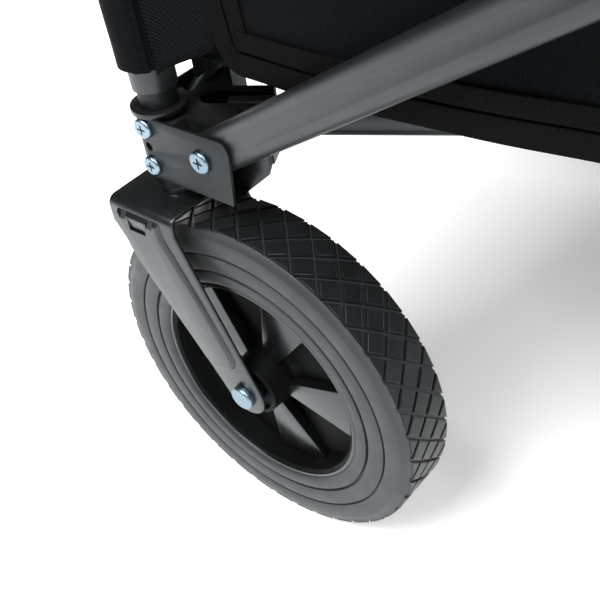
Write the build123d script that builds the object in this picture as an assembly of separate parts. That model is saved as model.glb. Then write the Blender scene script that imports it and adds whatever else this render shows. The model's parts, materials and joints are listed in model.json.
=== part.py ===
from build123d import *
import math
import os

# Folding wagon with a pull handle. Millimetres, +Z up, ground at z = 0.
# The pull handle is at -X. Corners: f/r = front/rear (-X/+X), l/r = left/right (-Y/+Y).
# Each corner is built once in corner axes: origin on the post's axis, +X inward along the
# wagon's length, +Y inward across its width, and then mirrored to its place.

# ---- driving sizes -------------------------------------------------------------------
SPAN = 390.0                # level distance between the two ends of a scissor tube, open
REST_ANGLE = 31.5           # slope of the scissor tubes with the wagon open, degrees
SIDE_PIVOT = 36.0           # corner post axis to the side tubes' pivot
END_PIVOT = 32.0            # corner post axis to the end tubes' pivot
HALF_LENGTH = SPAN + SIDE_PIVOT          # two crossing pairs on each long side
HALF_WIDTH = SPAN / 2 + END_PIVOT        # one crossing pair on each end
RISE = SPAN * math.tan(math.radians(REST_ANGLE))

# fork
FORK_W, FORK_T = 55.0, 2.5
FORK_FRONT, FORK_REAR = -27.0, 19.5      # the top plate's ends from the caster's axis
FORK_END_R = 13.0                        # rounded end of each leg, about the axle
FORK_SHOULDERS = (13.0, 10.0)            # straight edges under the top plate, front and rear
FORK_BEND_R = 3.5

# wheels
WHEEL_R, TYRE_W, TYRE_BORE = 101.5, 36.0, 66.0
WHEEL_CLEAR = 3.0           # between the tyre and the fork's top plate
TRAIL = 46.0                # axle behind the caster's own axis
AXLE_R, AXLE_GAP = 4.0, 0.06
AXLE_HEAD_R, AXLE_HEAD_T = 7.2, 4.0
NUT_R, NUT_T, AXLE_END = 7.5, 6.0, 8.0
SPACER_R, SPACER_T, SPACER_GAP = 8.0, 2.7, 0.3
HUB_R = 15.0
HUB_W = FORK_W - 2 * (FORK_T + SPACER_T + SPACER_GAP)
RIM_INSET, RIM_WALL, WEB_T = 2.0, 3.9, 4.0
RIM_SPOKES, SPOKE_TURN = 5, 10.0
SPOKE_HUB, SPOKE_RIM, SPOKE_FACE = 4.5, 18.5, 8.5   # half widths, and the face from the middle
FORK_TOP_Z = 2 * WHEEL_R + WHEEL_CLEAR + FORK_T

# scissor tubes: flat-oval section, two layers side by side
TUBE_H, TUBE_T, TUBE_WALL = 22.4, 11.0, 1.2
TUBE_TAIL = 15.0                         # tube beyond its end pivot
LAYER_GAP = 1.0
OUTER_LAYER = (-TUBE_T, 0.0)             # across the post axis, + is inward
INNER_LAYER = (LAYER_GAP, LAYER_GAP + TUBE_T)
CHEEK_GAP = 0.6
TAIL_REACH = math.hypot(TUBE_TAIL, TUBE_H / 2)
RIVET_R, RIVET_HEAD_R, RIVET_HEAD_T = 3.0, 6.0, 1.8

# posts and lower connector
POST_R, POST_WALL = 9.6, 1.2
STEM_R, FIT = 6.0, 0.08
BEARING_R, BEARING_T = 9.5, 5.2
PLATE_T, PLATE_GAP = 1.5, 0.3
PLATE_FACE = max(TUBE_T + PLATE_GAP, POST_R + 1.7) + PLATE_T     # from the post axis
SLEEVE_R = PLATE_FACE - PLATE_T - 0.05
LIP_R, LIP_T = SLEEVE_R + 3.25, 2.5
COLLAR_T, CONNECTOR_H = 5.5, 34.5
CONNECTOR_Z = (FORK_TOP_Z + 11.5, FORK_TOP_Z + 11.5 + CONNECTOR_H)
CHANNEL_FLOOR, CHANNEL_GAP = 1.0, 0.28   # under the tubes' tails as they turn
PIVOT_Z = CONNECTOR_Z[0] + CHANNEL_FLOOR + CHANNEL_GAP + TAIL_REACH
TOP_Z = PIVOT_Z + RISE                   # height of the upper pivots, open
POST_Z = (CONNECTOR_Z[0] + 1.0, CONNECTOR_Z[0] + 280.0)
CHEEK_T = 3.0
PLATE_REACH_SIDE, PLATE_REACH_END = 56.0, 50.0
PLATE_RAKE = 3.5                         # the side cheek is this much shorter at its foot
PLATE_CORNER_R = 6.0
PLATE_HOLE_R = 2.4
SCREW_R, SCREW_HEAD_R, SCREW_HEAD_T = 3.0, 6.0, 2.4
POST_SCREW_R = 2.0
POST_SCREW_Z = (CONNECTOR_Z[0] + 7.5, CONNECTOR_Z[0] + 28.5)

# floor arms and hub
ARM_PIVOT = (32.0, 30.0)                 # from the post axis
ARM_H, ARM_T, ARM_TAIL = 20.5, 12.0, 11.0
ARM_ANGLE = math.degrees(math.atan2(HALF_WIDTH - ARM_PIVOT[1], HALF_LENGTH - ARM_PIVOT[0]))
ARM_SLOT_GAP, ARM_WALL = 1.0, 3.5        # housing round each arm
ARM_SLOT_END, ARM_HOUSING = -26.0, 10.0  # slot's closed end and housing's open end, from the pivot
ARM_PIN_HEAD_R, ARM_PIN_HEAD_T = 5.0, 1.8
HUB_REACH = 85.0                         # wagon's centre to each arm's hub pivot
HUB_GAP, HUB_PLATE_T, HUB_R_MIDDLE, HUB_LEG_W = 1.6, 5.0, 34.0, 24.0
ARM_LIFT = 1.3                           # the arms' pivots above the scissor pivots
ARM_Z = PIVOT_Z + ARM_LIFT
HUB_LOW = ARM_Z + math.hypot(ARM_TAIL, ARM_H / 2) + HUB_GAP
HUB_TOP = HUB_LOW + HUB_PLATE_T

# upper corner
UPPER_WALL, UPPER_GAP = 1.3, 0.4
UPPER_R = POST_R + UPPER_GAP + UPPER_WALL
UPPER_Z = (CONNECTOR_Z[1] + 11.5, TOP_Z + 52.0)
UPPER_SLEEVE_R = UPPER_R + 2.0
UPPER_CONN = (-18.0, 18.0)               # about the upper pivots
UPPER_CHEEK_T, UPPER_CLEAR = 2.6, 0.3
CAP_R, CAP_T = UPPER_R + 2.7, 8.0

# fabric tub
TUB_LIFT = 0.5                           # the tub's floor over the hub
TUB_Z = (HUB_TOP + TUB_LIFT, TOP_Z + 48.0)
TUB_T = 2.0
TUB_INSET = 18.5                         # outer face of the walls from the post axes, inward
POCKET_GAP, POCKET_T = 0.3, 1.4          # sleeve sewn round each upper post
POCKET_Z = (UPPER_Z[0] + 3.0, TOP_Z - 26.0)
STRAP_W, STRAP_T, STRAP_LOOP, STRAP_RISE = 38.0, 3.0, 60.0, 26.0
STRAP_SLIT_GAP = 0.5                     # round each leg of the strap, in the tub's floor

# handle
HANDLE_PIVOT_OUT = 34.0                  # in front of the front posts' axis
HANDLE_LEAN = 3.0                        # leans back on its stop, degrees
HANDLE_R, HANDLE_WALL, HANDLE_TAIL = 11.0, 1.2, 11.0
SLIDER_GAP, SLIDER_WALL = 0.4, 1.2
SLIDER_R = HANDLE_R - HANDLE_WALL - SLIDER_GAP
HANDLE_LEN, SLIDER_INSERT, SLIDER_TOP = 330.0, 285.0, 350.0
GRIP_W, GRIP_H, GRIP_R, GRIP_CORNER_R = 118.0, 92.0, 13.0, 24.0
HANDLE_PIN_R, HANDLE_PIN_HEAD_R, HANDLE_PIN_HEAD_T = 4.0, 6.5, 2.5
LUG_T, LUG_GAP, LUG_H, LUG_NOSE = 4.0, 0.5, 30.0, 9.0
BASE_T, BASE_W, BASE_H = 4.0, 44.0, 52.0

CORNERS = {"fl": (-1, -1), "fr": (-1, 1), "rl": (1, -1), "rr": (1, 1)}
LOWER_OUTER = ("fl", "rr")               # corners whose lower tube ends lie in the outer layer
nodes = {}


# ---- helpers -------------------------------------------------------------------------
def cyl(p, axis, r, length):
    """A cylinder from point p along axis."""
    plane = Plane(origin=p, z_dir=axis)
    return extrude(plane * Circle(r), length)


def tube_bar(width, height, length, wall):
    """A hollow flat-oval bar along +X from x = 0, its section upright in YZ."""
    r = width / 2 - 0.05
    section = Plane.YZ * RectangleRounded(width, height, r)
    bore = Plane.YZ * RectangleRounded(width - 2 * wall, height - 2 * wall, r - wall)
    bar = extrude(section, length) - extrude(bore, length)
    return bar


def xz_plate(points, y0, y1):
    """A plate between y0 and y1 with its outline in XZ."""
    face = Plane.XZ * make_face(Polyline(*points, close=True))
    solid = extrude(face, -(y1 - y0)).moved(Location((0, y0, 0)))
    return solid


def put(name, *solids):
    nodes[name] = list(solids)


def to_corner(shape, key):
    """Corner axes to the wagon's axes: mirrored so that +X and +Y point inward."""
    sx, sy = CORNERS[key]
    if sx > 0:
        shape = shape.mirror(Plane.YZ)
    if sy > 0:
        shape = shape.mirror(Plane.XZ)
    return shape.moved(Location((sx * HALF_LENGTH, sy * HALF_WIDTH, 0)))


def to_post(shape, key):
    """A caster's piece at its post: mirrored left to right only, as all casters trail rearward."""
    sx, sy = CORNERS[key]
    if sy > 0:
        shape = shape.mirror(Plane.XZ)
    return shape.moved(Location((sx * HALF_LENGTH, sy * HALF_WIDTH, 0)))


def swap_xy(shape):
    """The side's piece turned into the end's: x and y change places."""
    return shape.mirror(Plane.XZ).rotate(Axis.Z, 90)


# ---- wheel and fork ------------------------------------------------------------------
def make_tyre():
    half, shoulder = TYRE_W / 2, 5.2
    outline = Polyline(
        (-half + 1.5, TYRE_BORE), (-half, TYRE_BORE + 2), (-half - 0.6, WHEEL_R - 18),
        (-half + 2.5, WHEEL_R - shoulder), (-half + 5.5, WHEEL_R - 0.8), (0, WHEEL_R),
        (half - 5.5, WHEEL_R - 0.8), (half - 2.5, WHEEL_R - shoulder),
        (half + 0.6, WHEEL_R - 18), (half, TYRE_BORE + 2), (half - 1.5, TYRE_BORE), close=True)
    face = Plane.YZ * make_face(outline)
    return revolve(face, Axis.Y).moved(Location((TRAIL, 0, WHEEL_R)))


def make_rim():
    half = TYRE_W / 2 - RIM_INSET
    inner = TYRE_BORE - RIM_WALL
    barrel = cyl((0, -half, 0), (0, 1, 0), TYRE_BORE - 0.1, 2 * half)
    barrel -= cyl((0, -half, 0), (0, 1, 0), inner - 0.1, 2 * half)
    web = cyl((0, -WEB_T / 2, 0), (0, 1, 0), inner, WEB_T)
    hub = cyl((0, -HUB_W / 2, 0), (0, 1, 0), HUB_R, HUB_W)
    rim = barrel + web + hub
    for side in (-1, 1):
        for k in range(RIM_SPOKES):
            wedge = Polyline((HUB_R - 1, -SPOKE_HUB), (inner + 0.4, -SPOKE_RIM),
                             (inner + 0.4, SPOKE_RIM), (HUB_R - 1, SPOKE_HUB), close=True)
            face = Plane.XZ * make_face(wedge)
            spoke = extrude(face, SPOKE_FACE * side)
            rim += spoke.rotate(Axis.Y, 360 / RIM_SPOKES * k + SPOKE_TURN)
    rim -= cyl((0, -HUB_W, 0), (0, 1, 0), AXLE_R + AXLE_GAP, 2 * HUB_W)
    return rim.moved(Location((TRAIL, 0, WHEEL_R)))


def leg_outline():
    """The fork leg: straight top, tapering to the rounded end about the axle."""
    ax, az, r = TRAIL, WHEEL_R, FORK_END_R
    pts = []
    shoulders = [FORK_TOP_Z - drop for drop in FORK_SHOULDERS]
    for x, z, side in ((FORK_FRONT, shoulders[0], 1), (FORK_REAR, shoulders[1], -1)):
        dx, dz = ax - x, az - z
        dist = math.hypot(dx, dz)
        tilt = math.atan2(dz, dx) + side * (math.asin(r / dist))
        reach = math.sqrt(dist * dist - r * r)
        pts.append(((x, z), (x + reach * math.cos(tilt - 2 * side * math.asin(r / dist)),
                             z + reach * math.sin(tilt - 2 * side * math.asin(r / dist)))))
    (f0, f1), (r0, r1) = pts
    top = FORK_TOP_Z
    down = (ax + r * math.cos(math.radians(-60)), az + r * math.sin(math.radians(-60)))
    with BuildSketch(Plane.XZ) as sk:
        with BuildLine():
            Polyline((FORK_FRONT, top), f0, f1)
            ThreePointArc(f1, down, r1)
            Polyline(r1, r0, (FORK_REAR, top), (FORK_FRONT, top))
        make_face()
    return sk.sketch


def make_fork():
    half = FORK_W / 2
    leg = leg_outline()
    solid = extrude(leg, half, both=True)
    inner = Box(200, FORK_W - 2 * FORK_T, 300)
    solid -= inner.moved(Location((0, 0, FORK_TOP_Z - FORK_T - 150)))
    top_edges = [e for e in solid.edges().filter_by(Axis.X)
                 if abs(e.center().Z - FORK_TOP_Z) < 0.01 and abs(abs(e.center().Y) - half) < 0.01]
    solid = fillet(top_edges, FORK_BEND_R)
    solid -= cyl((TRAIL, -half - 1, WHEEL_R), (0, 1, 0), AXLE_R + AXLE_GAP, FORK_W + 2)
    solid -= cyl((0, 0, FORK_TOP_Z - 10), (0, 0, 1), STEM_R + 0.1, 20)
    return solid


def make_stem():
    """Swivel stem, headed under the fork's top plate, and the bright bearing on the plate."""
    low = FORK_TOP_Z - FORK_T
    stem = cyl((0, 0, low - 3.0), (0, 0, 1), STEM_R + 3.5, 3.0)
    stem += cyl((0, 0, low - 3.0), (0, 0, 1), STEM_R, 60.0)
    bearing = cyl((0, 0, FORK_TOP_Z), (0, 0, 1), BEARING_R, BEARING_T)
    bearing -= cyl((0, 0, FORK_TOP_Z), (0, 0, 1), STEM_R + 0.1, BEARING_T)
    return stem, bearing


def make_axle():
    """Axle bolt with a low round head, its nut, and a spacer on each side of the hub."""
    half = FORK_W / 2
    bolt = cyl((TRAIL, -half - AXLE_HEAD_T, WHEEL_R), (0, 1, 0), AXLE_HEAD_R, AXLE_HEAD_T)
    bolt = fillet(bolt.edges().filter_by(GeomType.CIRCLE).sort_by(Axis.Y)[0], AXLE_HEAD_T * 0.4)
    bolt += cyl((TRAIL, -half - 1, WHEEL_R), (0, 1, 0), AXLE_R, FORK_W + 1 + AXLE_END)
    nut = extrude(Plane.XZ * RegularPolygon(NUT_R, 6), -NUT_T).moved(Location((TRAIL, half, WHEEL_R)))
    nut -= cyl((TRAIL, half - 1, WHEEL_R), (0, 1, 0), AXLE_R + AXLE_GAP, NUT_T + 2)
    spacers = []
    for y0 in (-half + FORK_T, half - FORK_T - SPACER_T):
        ring = cyl((TRAIL, y0, WHEEL_R), (0, 1, 0), SPACER_R, SPACER_T)
        spacers.append(ring - cyl((TRAIL, y0, WHEEL_R), (0, 1, 0), AXLE_R + AXLE_GAP, SPACER_T))
    return [bolt, nut] + spacers


# ---- lower corner --------------------------------------------------------------------
def make_lower_post():
    z0, z1 = POST_Z
    return cyl((0, 0, z0), (0, 0, 1), POST_R, z1 - z0) - cyl((0, 0, z0), (0, 0, 1),
                                                              POST_R - POST_WALL, z1 - z0)


def layer_of(key, lower=True):
    outer = (key in LOWER_OUTER) == lower
    return OUTER_LAYER if outer else INNER_LAYER


def arm_across():
    """The direction of the arm's pivot, in corner axes."""
    a = math.radians(ARM_ANGLE)
    return Vector(-math.sin(a), math.cos(a), 0)


def along_arm(shape):
    """A piece laid out about the arm's pivot, with the arm along +X, put in its place."""
    return shape.rotate(Axis.Z, ARM_ANGLE).moved(Location((ARM_PIVOT[0], ARM_PIVOT[1], 0)))


def make_lower_connector(layer):
    """Moulded connector: sleeve on the post, channels for the side and end tubes, a flat
    top, and a slotted housing for the floor arm."""
    z0, z1 = CONNECTOR_Z
    top = z1 - LIP_T
    low, high = layer
    body = cyl((0, 0, z0 - COLLAR_T), (0, 0, 1), SLEEVE_R, COLLAR_T)
    body += cyl((0, 0, z0), (0, 0, 1), SLEEVE_R, z1 - z0)
    body += cyl((0, 0, z1), (0, 0, 1), LIP_R, LIP_T)
    inside = high + CHEEK_GAP
    side = xz_plate([(0, z0), (SIDE_PIVOT + 14, z0), (SIDE_PIVOT + 27.5, z0 + 12),
                     (SIDE_PIVOT + 31, z0 + 20), (SIDE_PIVOT + 31, top), (0, top)],
                    -PLATE_FACE + PLATE_T, inside + CHEEK_T)
    end = xz_plate([(0, z0), (END_PIVOT + 14, z0), (END_PIVOT + 24, z0 + 9), (END_PIVOT + 24, top),
                    (0, top)], -PLATE_FACE + PLATE_T, inside + CHEEK_T)
    body += side + swap_xy(end)
    # housing for the floor arm
    wide = ARM_T + 2 * (ARM_SLOT_GAP + ARM_WALL)
    back = ARM_SLOT_END - ARM_WALL
    block = Box(ARM_HOUSING - back, wide, top - z0)
    body += along_arm(block.moved(Location(((ARM_HOUSING + back) / 2, 0, (z0 + top) / 2))))
    # flat top between the two cheeks
    reach = 14.0
    lid = Polyline((0, 0), (SIDE_PIVOT + reach, 0), (SIDE_PIVOT + reach, inside + CHEEK_T),
                   (inside + CHEEK_T, END_PIVOT + reach), (0, END_PIVOT + reach), close=True)
    body += extrude(make_face(lid), CHEEK_T).moved(Location((0, 0, top - CHEEK_T)))
    # channels for the tubes, which turn about their pivots
    room_back = TAIL_REACH + 0.9
    for pivot, plate, turn in ((SIDE_PIVOT, PLATE_REACH_SIDE, False), (END_PIVOT, PLATE_REACH_END, True)):
        first = -PLATE_FACE if low < 0 else low - CHEEK_GAP
        floor = z0 + CHANNEL_FLOOR
        room = xz_plate([(pivot - room_back, floor), (2 * plate, floor), (2 * plate, z1 + 9),
                         (pivot - room_back, z1 + 9)], first, inside)
        past = xz_plate([(plate - PLATE_RAKE, z0 - 6), (2 * plate, z0 - 6), (2 * plate, z1 + 9),
                         (plate - PLATE_RAKE, z1 + 9)], -PLATE_FACE, inside)
        room += past
        body -= swap_xy(room) if turn else room
    # the arm's slot, closed towards the post, open above and away from it
    half = ARM_T / 2 + ARM_SLOT_GAP
    slot = Box(120, 2 * half, 80).moved(Location((60 + ARM_SLOT_END + half, 0, z0 + 4.0 + 40)))
    slot += cyl((ARM_SLOT_END + half, 0, z0 + 4.0), (0, 0, 1), half, 80)
    body -= along_arm(slot)
    # the post's groove, the stem's bore and the screw holes
    body -= cyl((0, 0, POST_Z[0]), (0, 0, 1), POST_R + 0.1, 60)
    core = cyl((0, 0, z0 - COLLAR_T), (0, 0, 1), POST_R - POST_WALL - 0.1, z1 - z0 + COLLAR_T)
    body += core
    body -= cyl((0, 0, z0 - COLLAR_T - 1), (0, 0, 1), STEM_R + FIT, 60)
    for cut in screw_set(grow=0.1):
        body -= cut
    for cut in screw_heads(grow=0.1):
        body -= cut
    return body


def make_bracket():
    """Bent plate: round the post's outer side, with a cheek along the side and the end."""
    z0, z1 = CONNECTOR_Z
    face, t = PLATE_FACE, PLATE_T
    reach = PLATE_REACH_SIDE
    side = xz_plate([(0, z0), (reach - PLATE_RAKE, z0), (reach, z1), (0, z1)], -face, -face + t)
    corner = side.edges().filter_by(Axis.Y).group_by(Axis.X)[-1].sort_by(Axis.Z)[-1]
    side = fillet(corner, PLATE_CORNER_R)
    end = Box(t, PLATE_REACH_END, z1 - z0).moved(
        Location((-face + t / 2, PLATE_REACH_END / 2, (z0 + z1) / 2)))
    corner = end.edges().filter_by(Axis.X).group_by(Axis.Y)[-1].sort_by(Axis.Z)[-1]
    end = fillet(corner, PLATE_CORNER_R)
    wrap = cyl((0, 0, z0), (0, 0, 1), face, z1 - z0) - cyl((0, 0, z0), (0, 0, 1), face - t, z1 - z0)
    wrap &= Box(face, face, z1 - z0).moved(Location((-face / 2, -face / 2, (z0 + z1) / 2)))
    plate = side + end + wrap
    for cut in screw_set(grow=0.1):
        plate -= cut
    plate -= cyl((0, -face - 1, sum(POST_SCREW_Z) / 2), (0, 1, 0), PLATE_HOLE_R, t + 2)
    return plate


def screw_set(grow=0.0):
    """Shanks: side pivot, end pivot, two into the post, and the floor arm's pin."""
    top = PLATE_FACE
    long = 30.0
    out = [cyl((SIDE_PIVOT, -top, PIVOT_Z), (0, 1, 0), SCREW_R + grow, long),
           cyl((-top, END_PIVOT, PIVOT_Z), (1, 0, 0), SCREW_R + grow, long)]
    for z in POST_SCREW_Z:
        out.append(cyl((0, -top - 0.2, z), (0, 1, 0), POST_SCREW_R + grow, top - STEM_R - 0.5))
    half = ARM_T / 2 + ARM_SLOT_GAP + ARM_WALL - 0.1
    across = arm_across()
    start = Vector(ARM_PIVOT[0], ARM_PIVOT[1], ARM_Z) - across * half
    out.append(cyl(start, across, SCREW_R + grow, 2 * half))
    return out


def screw_heads(grow=0.0):
    across = arm_across()
    centre = Vector(ARM_PIVOT[0], ARM_PIVOT[1], ARM_Z)
    half = ARM_T / 2 + ARM_SLOT_GAP + ARM_WALL - 0.1 - grow
    r, t = ARM_PIN_HEAD_R + grow, ARM_PIN_HEAD_T + grow
    return [cyl(centre + across * half, across, r, t), cyl(centre - across * half, across * -1, r, t)]


def pan_head(p, axis, r, t):
    """A pan head standing on point p, with a cross recess."""
    head = cyl(p, axis, r, t)
    plane = Plane(origin=Vector(*p) + Vector(*axis) * t, z_dir=axis)
    crown = Vector(*p) + Vector(*axis) * t
    rims = head.edges().filter_by(GeomType.CIRCLE)
    head = fillet(min(rims, key=lambda e: (e.arc_center - crown).length), t * 0.6)
    for turn in (0, 90):
        bar = extrude(plane * Rectangle(r, 1.0, rotation=turn), -t * 0.6)
        head -= bar
    return head


def make_screws():
    shanks = screw_set()
    heads = screw_heads()
    z = PIVOT_Z
    out = [shanks[0] + pan_head((SIDE_PIVOT, -PLATE_FACE, z), (0, -1, 0), SCREW_HEAD_R, SCREW_HEAD_T),
           shanks[1] + pan_head((-PLATE_FACE, END_PIVOT, z), (-1, 0, 0), SCREW_HEAD_R, SCREW_HEAD_T)]
    for shank, z in zip(shanks[2:4], POST_SCREW_Z):
        out.append(shank + pan_head((0, -PLATE_FACE, z), (0, -1, 0), SCREW_HEAD_R - 0.6, SCREW_HEAD_T))
    out.append(shanks[4] + heads[0] + heads[1])
    return out


# ---- upper corner --------------------------------------------------------------------
def make_upper_corner(layer):
    """Sliding upper post, its moulded connector with pins for two tubes, and the cap."""
    low, high = layer
    z0, z1 = TOP_Z + UPPER_CONN[0], TOP_Z + UPPER_CONN[1]
    body = cyl((0, 0, z0), (0, 0, 1), UPPER_SLEEVE_R, z1 - z0)
    t = UPPER_CHEEK_T
    for y0 in (low - CHEEK_GAP - t, high + CHEEK_GAP):
        side = xz_plate([(0, z0), (50, z0), (54, z0 + 4), (54, z1 - 4), (50, z1), (0, z1)], y0, y0 + t)
        end = xz_plate([(0, z0), (46, z0), (50, z0 + 4), (50, z1 - 4), (46, z1), (0, z1)], y0, y0 + t)
        body += side + swap_xy(end)
    back = TAIL_REACH + UPPER_CLEAR
    for reach, turn in ((SIDE_PIVOT, False), (END_PIVOT, True)):
        room = xz_plate([(reach - back, z0 - 6), (2 * SPAN, z0 - 6), (2 * SPAN, z1 + 9),
                         (reach - back, z1 + 9)], low - CHEEK_GAP, high + CHEEK_GAP)
        body -= swap_xy(room) if turn else room
    pins = []
    first = low - CHEEK_GAP - t
    span = high - low + 2 * CHEEK_GAP + 2 * t
    for p, axis in (((SIDE_PIVOT, first, TOP_Z), (0, 1, 0)), ((first, END_PIVOT, TOP_Z), (1, 0, 0))):
        body -= cyl(p, axis, SCREW_R + 0.1, span)
        pin = cyl(p, axis, SCREW_R, span)
        back = Vector(*p) - Vector(*axis) * 1.8
        pin += cyl(back, axis, RIVET_HEAD_R - 1, 1.8)
        pin += cyl(Vector(*p) + Vector(*axis) * span, axis, RIVET_HEAD_R - 1, 1.8)
        pins.append(pin)
    u0, u1 = UPPER_Z
    post = cyl((0, 0, u0), (0, 0, 1), UPPER_R, u1 - u0) - cyl((0, 0, u0), (0, 0, 1),
                                                              UPPER_R - UPPER_WALL, u1 - u0)
    body -= cyl((0, 0, z0 - 1), (0, 0, 1), UPPER_R + 0.05, z1 - z0 + 2)
    cap = cyl((0, 0, u1), (0, 0, 1), CAP_R, CAP_T)
    cap = fillet(cap.edges().filter_by(GeomType.CIRCLE).sort_by(Axis.Z)[-1], 3.0)
    return [post, body, cap] + pins


# ---- scissor tubes -------------------------------------------------------------------
TUBE_LEN = SPAN / math.cos(math.radians(REST_ANGLE))


def make_scissor(rising, layer, rivets=()):
    """A tube between two pivots in the side's plane: x 0..SPAN, z from a lower to an upper
    pivot (or falling), y in its layer. Rivets at given shares of its length."""
    low, high = layer
    bar = tube_bar(TUBE_T, TUBE_H, TUBE_LEN + 2 * TUBE_TAIL, TUBE_WALL)
    bar = bar.moved(Location((-TUBE_TAIL, (low + high) / 2, 0)))
    for share in (0.0, 0.5, 1.0):
        bar -= cyl((share * TUBE_LEN, low - 1, 0), (0, 1, 0), RIVET_R + 0.1, TUBE_T + 2)
    parts = [bar]
    for share in rivets:
        x = share * TUBE_LEN
        y0, y1 = OUTER_LAYER[0], INNER_LAYER[1]
        pin = cyl((x, y0, 0), (0, 1, 0), RIVET_R, y1 - y0)
        pin += cyl((x, y0 - RIVET_HEAD_T, 0), (0, 1, 0), RIVET_HEAD_R, RIVET_HEAD_T)
        pin += cyl((x, y1, 0), (0, 1, 0), RIVET_HEAD_R, RIVET_HEAD_T)
        parts.append(pin)
    turn = -REST_ANGLE if rising else REST_ANGLE
    z = PIVOT_Z if rising else TOP_Z
    return [p.rotate(Axis.Y, turn).moved(Location((0, 0, z))) for p in parts]


def side_tubes(side):
    """Four tubes of one long side, named as on the left side, front to rear."""
    left = {
        "a": [p.moved(Location((-SPAN, 0, 0))) for p in make_scissor(True, OUTER_LAYER, (0.5, 1.0))],
        "b": [p.moved(Location((-SPAN, 0, 0))) for p in make_scissor(False, INNER_LAYER)],
        "c": make_scissor(False, INNER_LAYER),
        "d": make_scissor(True, OUTER_LAYER, (0.0, 0.5)),
    }
    for key, parts in left.items():
        parts = [p.moved(Location((0, -HALF_WIDTH, 0))) for p in parts]
        if side == "right":
            parts = [p.rotate(Axis.Z, 180) for p in parts]
        put(f"side_tube_{side}_{key}", *parts)


def end_tubes(end):
    """Two tubes of one end, as at the front: the outer one rises towards the right."""
    outer = make_scissor(True, OUTER_LAYER, (0.5,) if end == "rear" else ())
    inner = make_scissor(False, INNER_LAYER)
    for key, parts in (("outer", outer), ("inner", inner)):
        parts = [p.moved(Location((-SPAN / 2, 0, 0))) for p in parts]
        parts = [swap_xy(p).moved(Location((-HALF_LENGTH, 0, 0))) for p in parts]
        if end == "rear":
            parts = [p.rotate(Axis.Z, 180) for p in parts]
        put(f"{end}_tube_{key}", *parts)


# ---- floor arms, hub, strap ----------------------------------------------------------
ARM_RUN = math.hypot(HALF_LENGTH - ARM_PIVOT[0], HALF_WIDTH - ARM_PIVOT[1])
ARM_LEN = ARM_RUN - HUB_REACH


def make_arm():
    bar = tube_bar(ARM_T, ARM_H, ARM_LEN + 2 * ARM_TAIL, TUBE_WALL).moved(Location((-ARM_TAIL, 0, 0)))
    for x in (0, ARM_LEN):
        bar -= cyl((x, -ARM_T, 0), (0, 1, 0), SCREW_R + 0.1, 2 * ARM_T)
    bar = bar.rotate(Axis.Z, ARM_ANGLE)
    return bar.moved(Location((ARM_PIVOT[0], ARM_PIVOT[1], ARM_Z)))


def make_hub():
    """Hub plate over the arms' ends, with the clevis and pin of the arm that carries it."""
    z0 = HUB_LOW
    a = math.radians(ARM_ANGLE)
    plate = None
    for sx, sy in CORNERS.values():
        reach = HUB_REACH + 14
        leg = Box(reach, HUB_LEG_W, HUB_PLATE_T).moved(Location((reach / 2, 0, 0)))
        leg = leg.rotate(Axis.Z, math.degrees(math.atan2(sy * math.sin(a), sx * math.cos(a))))
        plate = leg if plate is None else plate + leg
    plate += Cylinder(HUB_R_MIDDLE, HUB_PLATE_T)
    plate = plate.moved(Location((0, 0, z0 + HUB_PLATE_T / 2)))
    pivot = Vector(-HUB_REACH * math.cos(a), -HUB_REACH * math.sin(a), ARM_Z)
    across = Vector(-math.sin(a), math.cos(a), 0)
    for side in (-1, 1):
        lug = Box(16, 3.0, z0 - ARM_Z + 8.0 + 1).moved(Location((0, 0, (z0 - ARM_Z + 1 - 8.0) / 2)))
        lug = lug.rotate(Axis.Z, ARM_ANGLE)
        plate += lug.moved(Location(pivot + across * side * (ARM_T / 2 + 0.5 + 1.5)))
    start = pivot - across * 9.5
    plate -= cyl(start, across, SCREW_R + 0.1, 19)
    pin = cyl(start, across, SCREW_R, 19)
    pin += cyl(start - across * 1.6, across, 5.0, 1.6) + cyl(start + across * 19, across, 5.0, 1.6)
    return plate, pin


def make_strap():
    """Lift strap: webbing that stands on the hub and loops up through the tub's floor."""
    high = TUB_Z[0] + TUB_T + STRAP_RISE - HUB_TOP
    loop = Box(STRAP_W, STRAP_LOOP, high)
    loop -= Box(STRAP_W + 2, STRAP_LOOP - 2 * STRAP_T, high).moved(Location((0, 0, -STRAP_T)))
    return loop.moved(Location((0, 0, HUB_TOP + high / 2)))


# ---- fabric tub ----------------------------------------------------------------------
def make_tub():
    """The fabric tub: floor, four walls and a sleeve round each upper post."""
    z0, z1 = TUB_Z
    hx, hy = HALF_LENGTH - TUB_INSET, HALF_WIDTH - TUB_INSET
    height = z1 - z0
    tub = Box(2 * hx, 2 * hy, height)
    tub -= Box(2 * (hx - TUB_T), 2 * (hy - TUB_T), height).moved(Location((0, 0, TUB_T)))
    tub = tub.moved(Location((0, 0, (z0 + z1) / 2)))
    for side in (-1, 1):
        slit = Box(STRAP_W + 2 * STRAP_SLIT_GAP, STRAP_T + 2 * STRAP_SLIT_GAP, 4 * TUB_T)
        tub -= slit.moved(Location((0, side * (STRAP_LOOP - STRAP_T) / 2, z0)))
    p0, p1 = POCKET_Z
    inner = UPPER_R + POCKET_GAP
    flap = TUB_INSET * math.sqrt(2) + TUB_T
    pocket = cyl((0, 0, p0), (0, 0, 1), inner + POCKET_T, p1 - p0)
    flap_box = Box(flap, TUB_T, p1 - p0).moved(Location((flap / 2, 0, (p0 + p1) / 2)))
    pocket += flap_box.rotate(Axis.Z, 45)
    pocket -= cyl((0, 0, p0), (0, 0, 1), inner, p1 - p0)
    for key in CORNERS:
        tub += to_corner(pocket, key)
    return tub


# ---- handle --------------------------------------------------------------------------
MID_Z = PIVOT_Z + RISE / 2
HANDLE_AXIS = (-HALF_LENGTH - HANDLE_PIVOT_OUT, 0, MID_Z)


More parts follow.
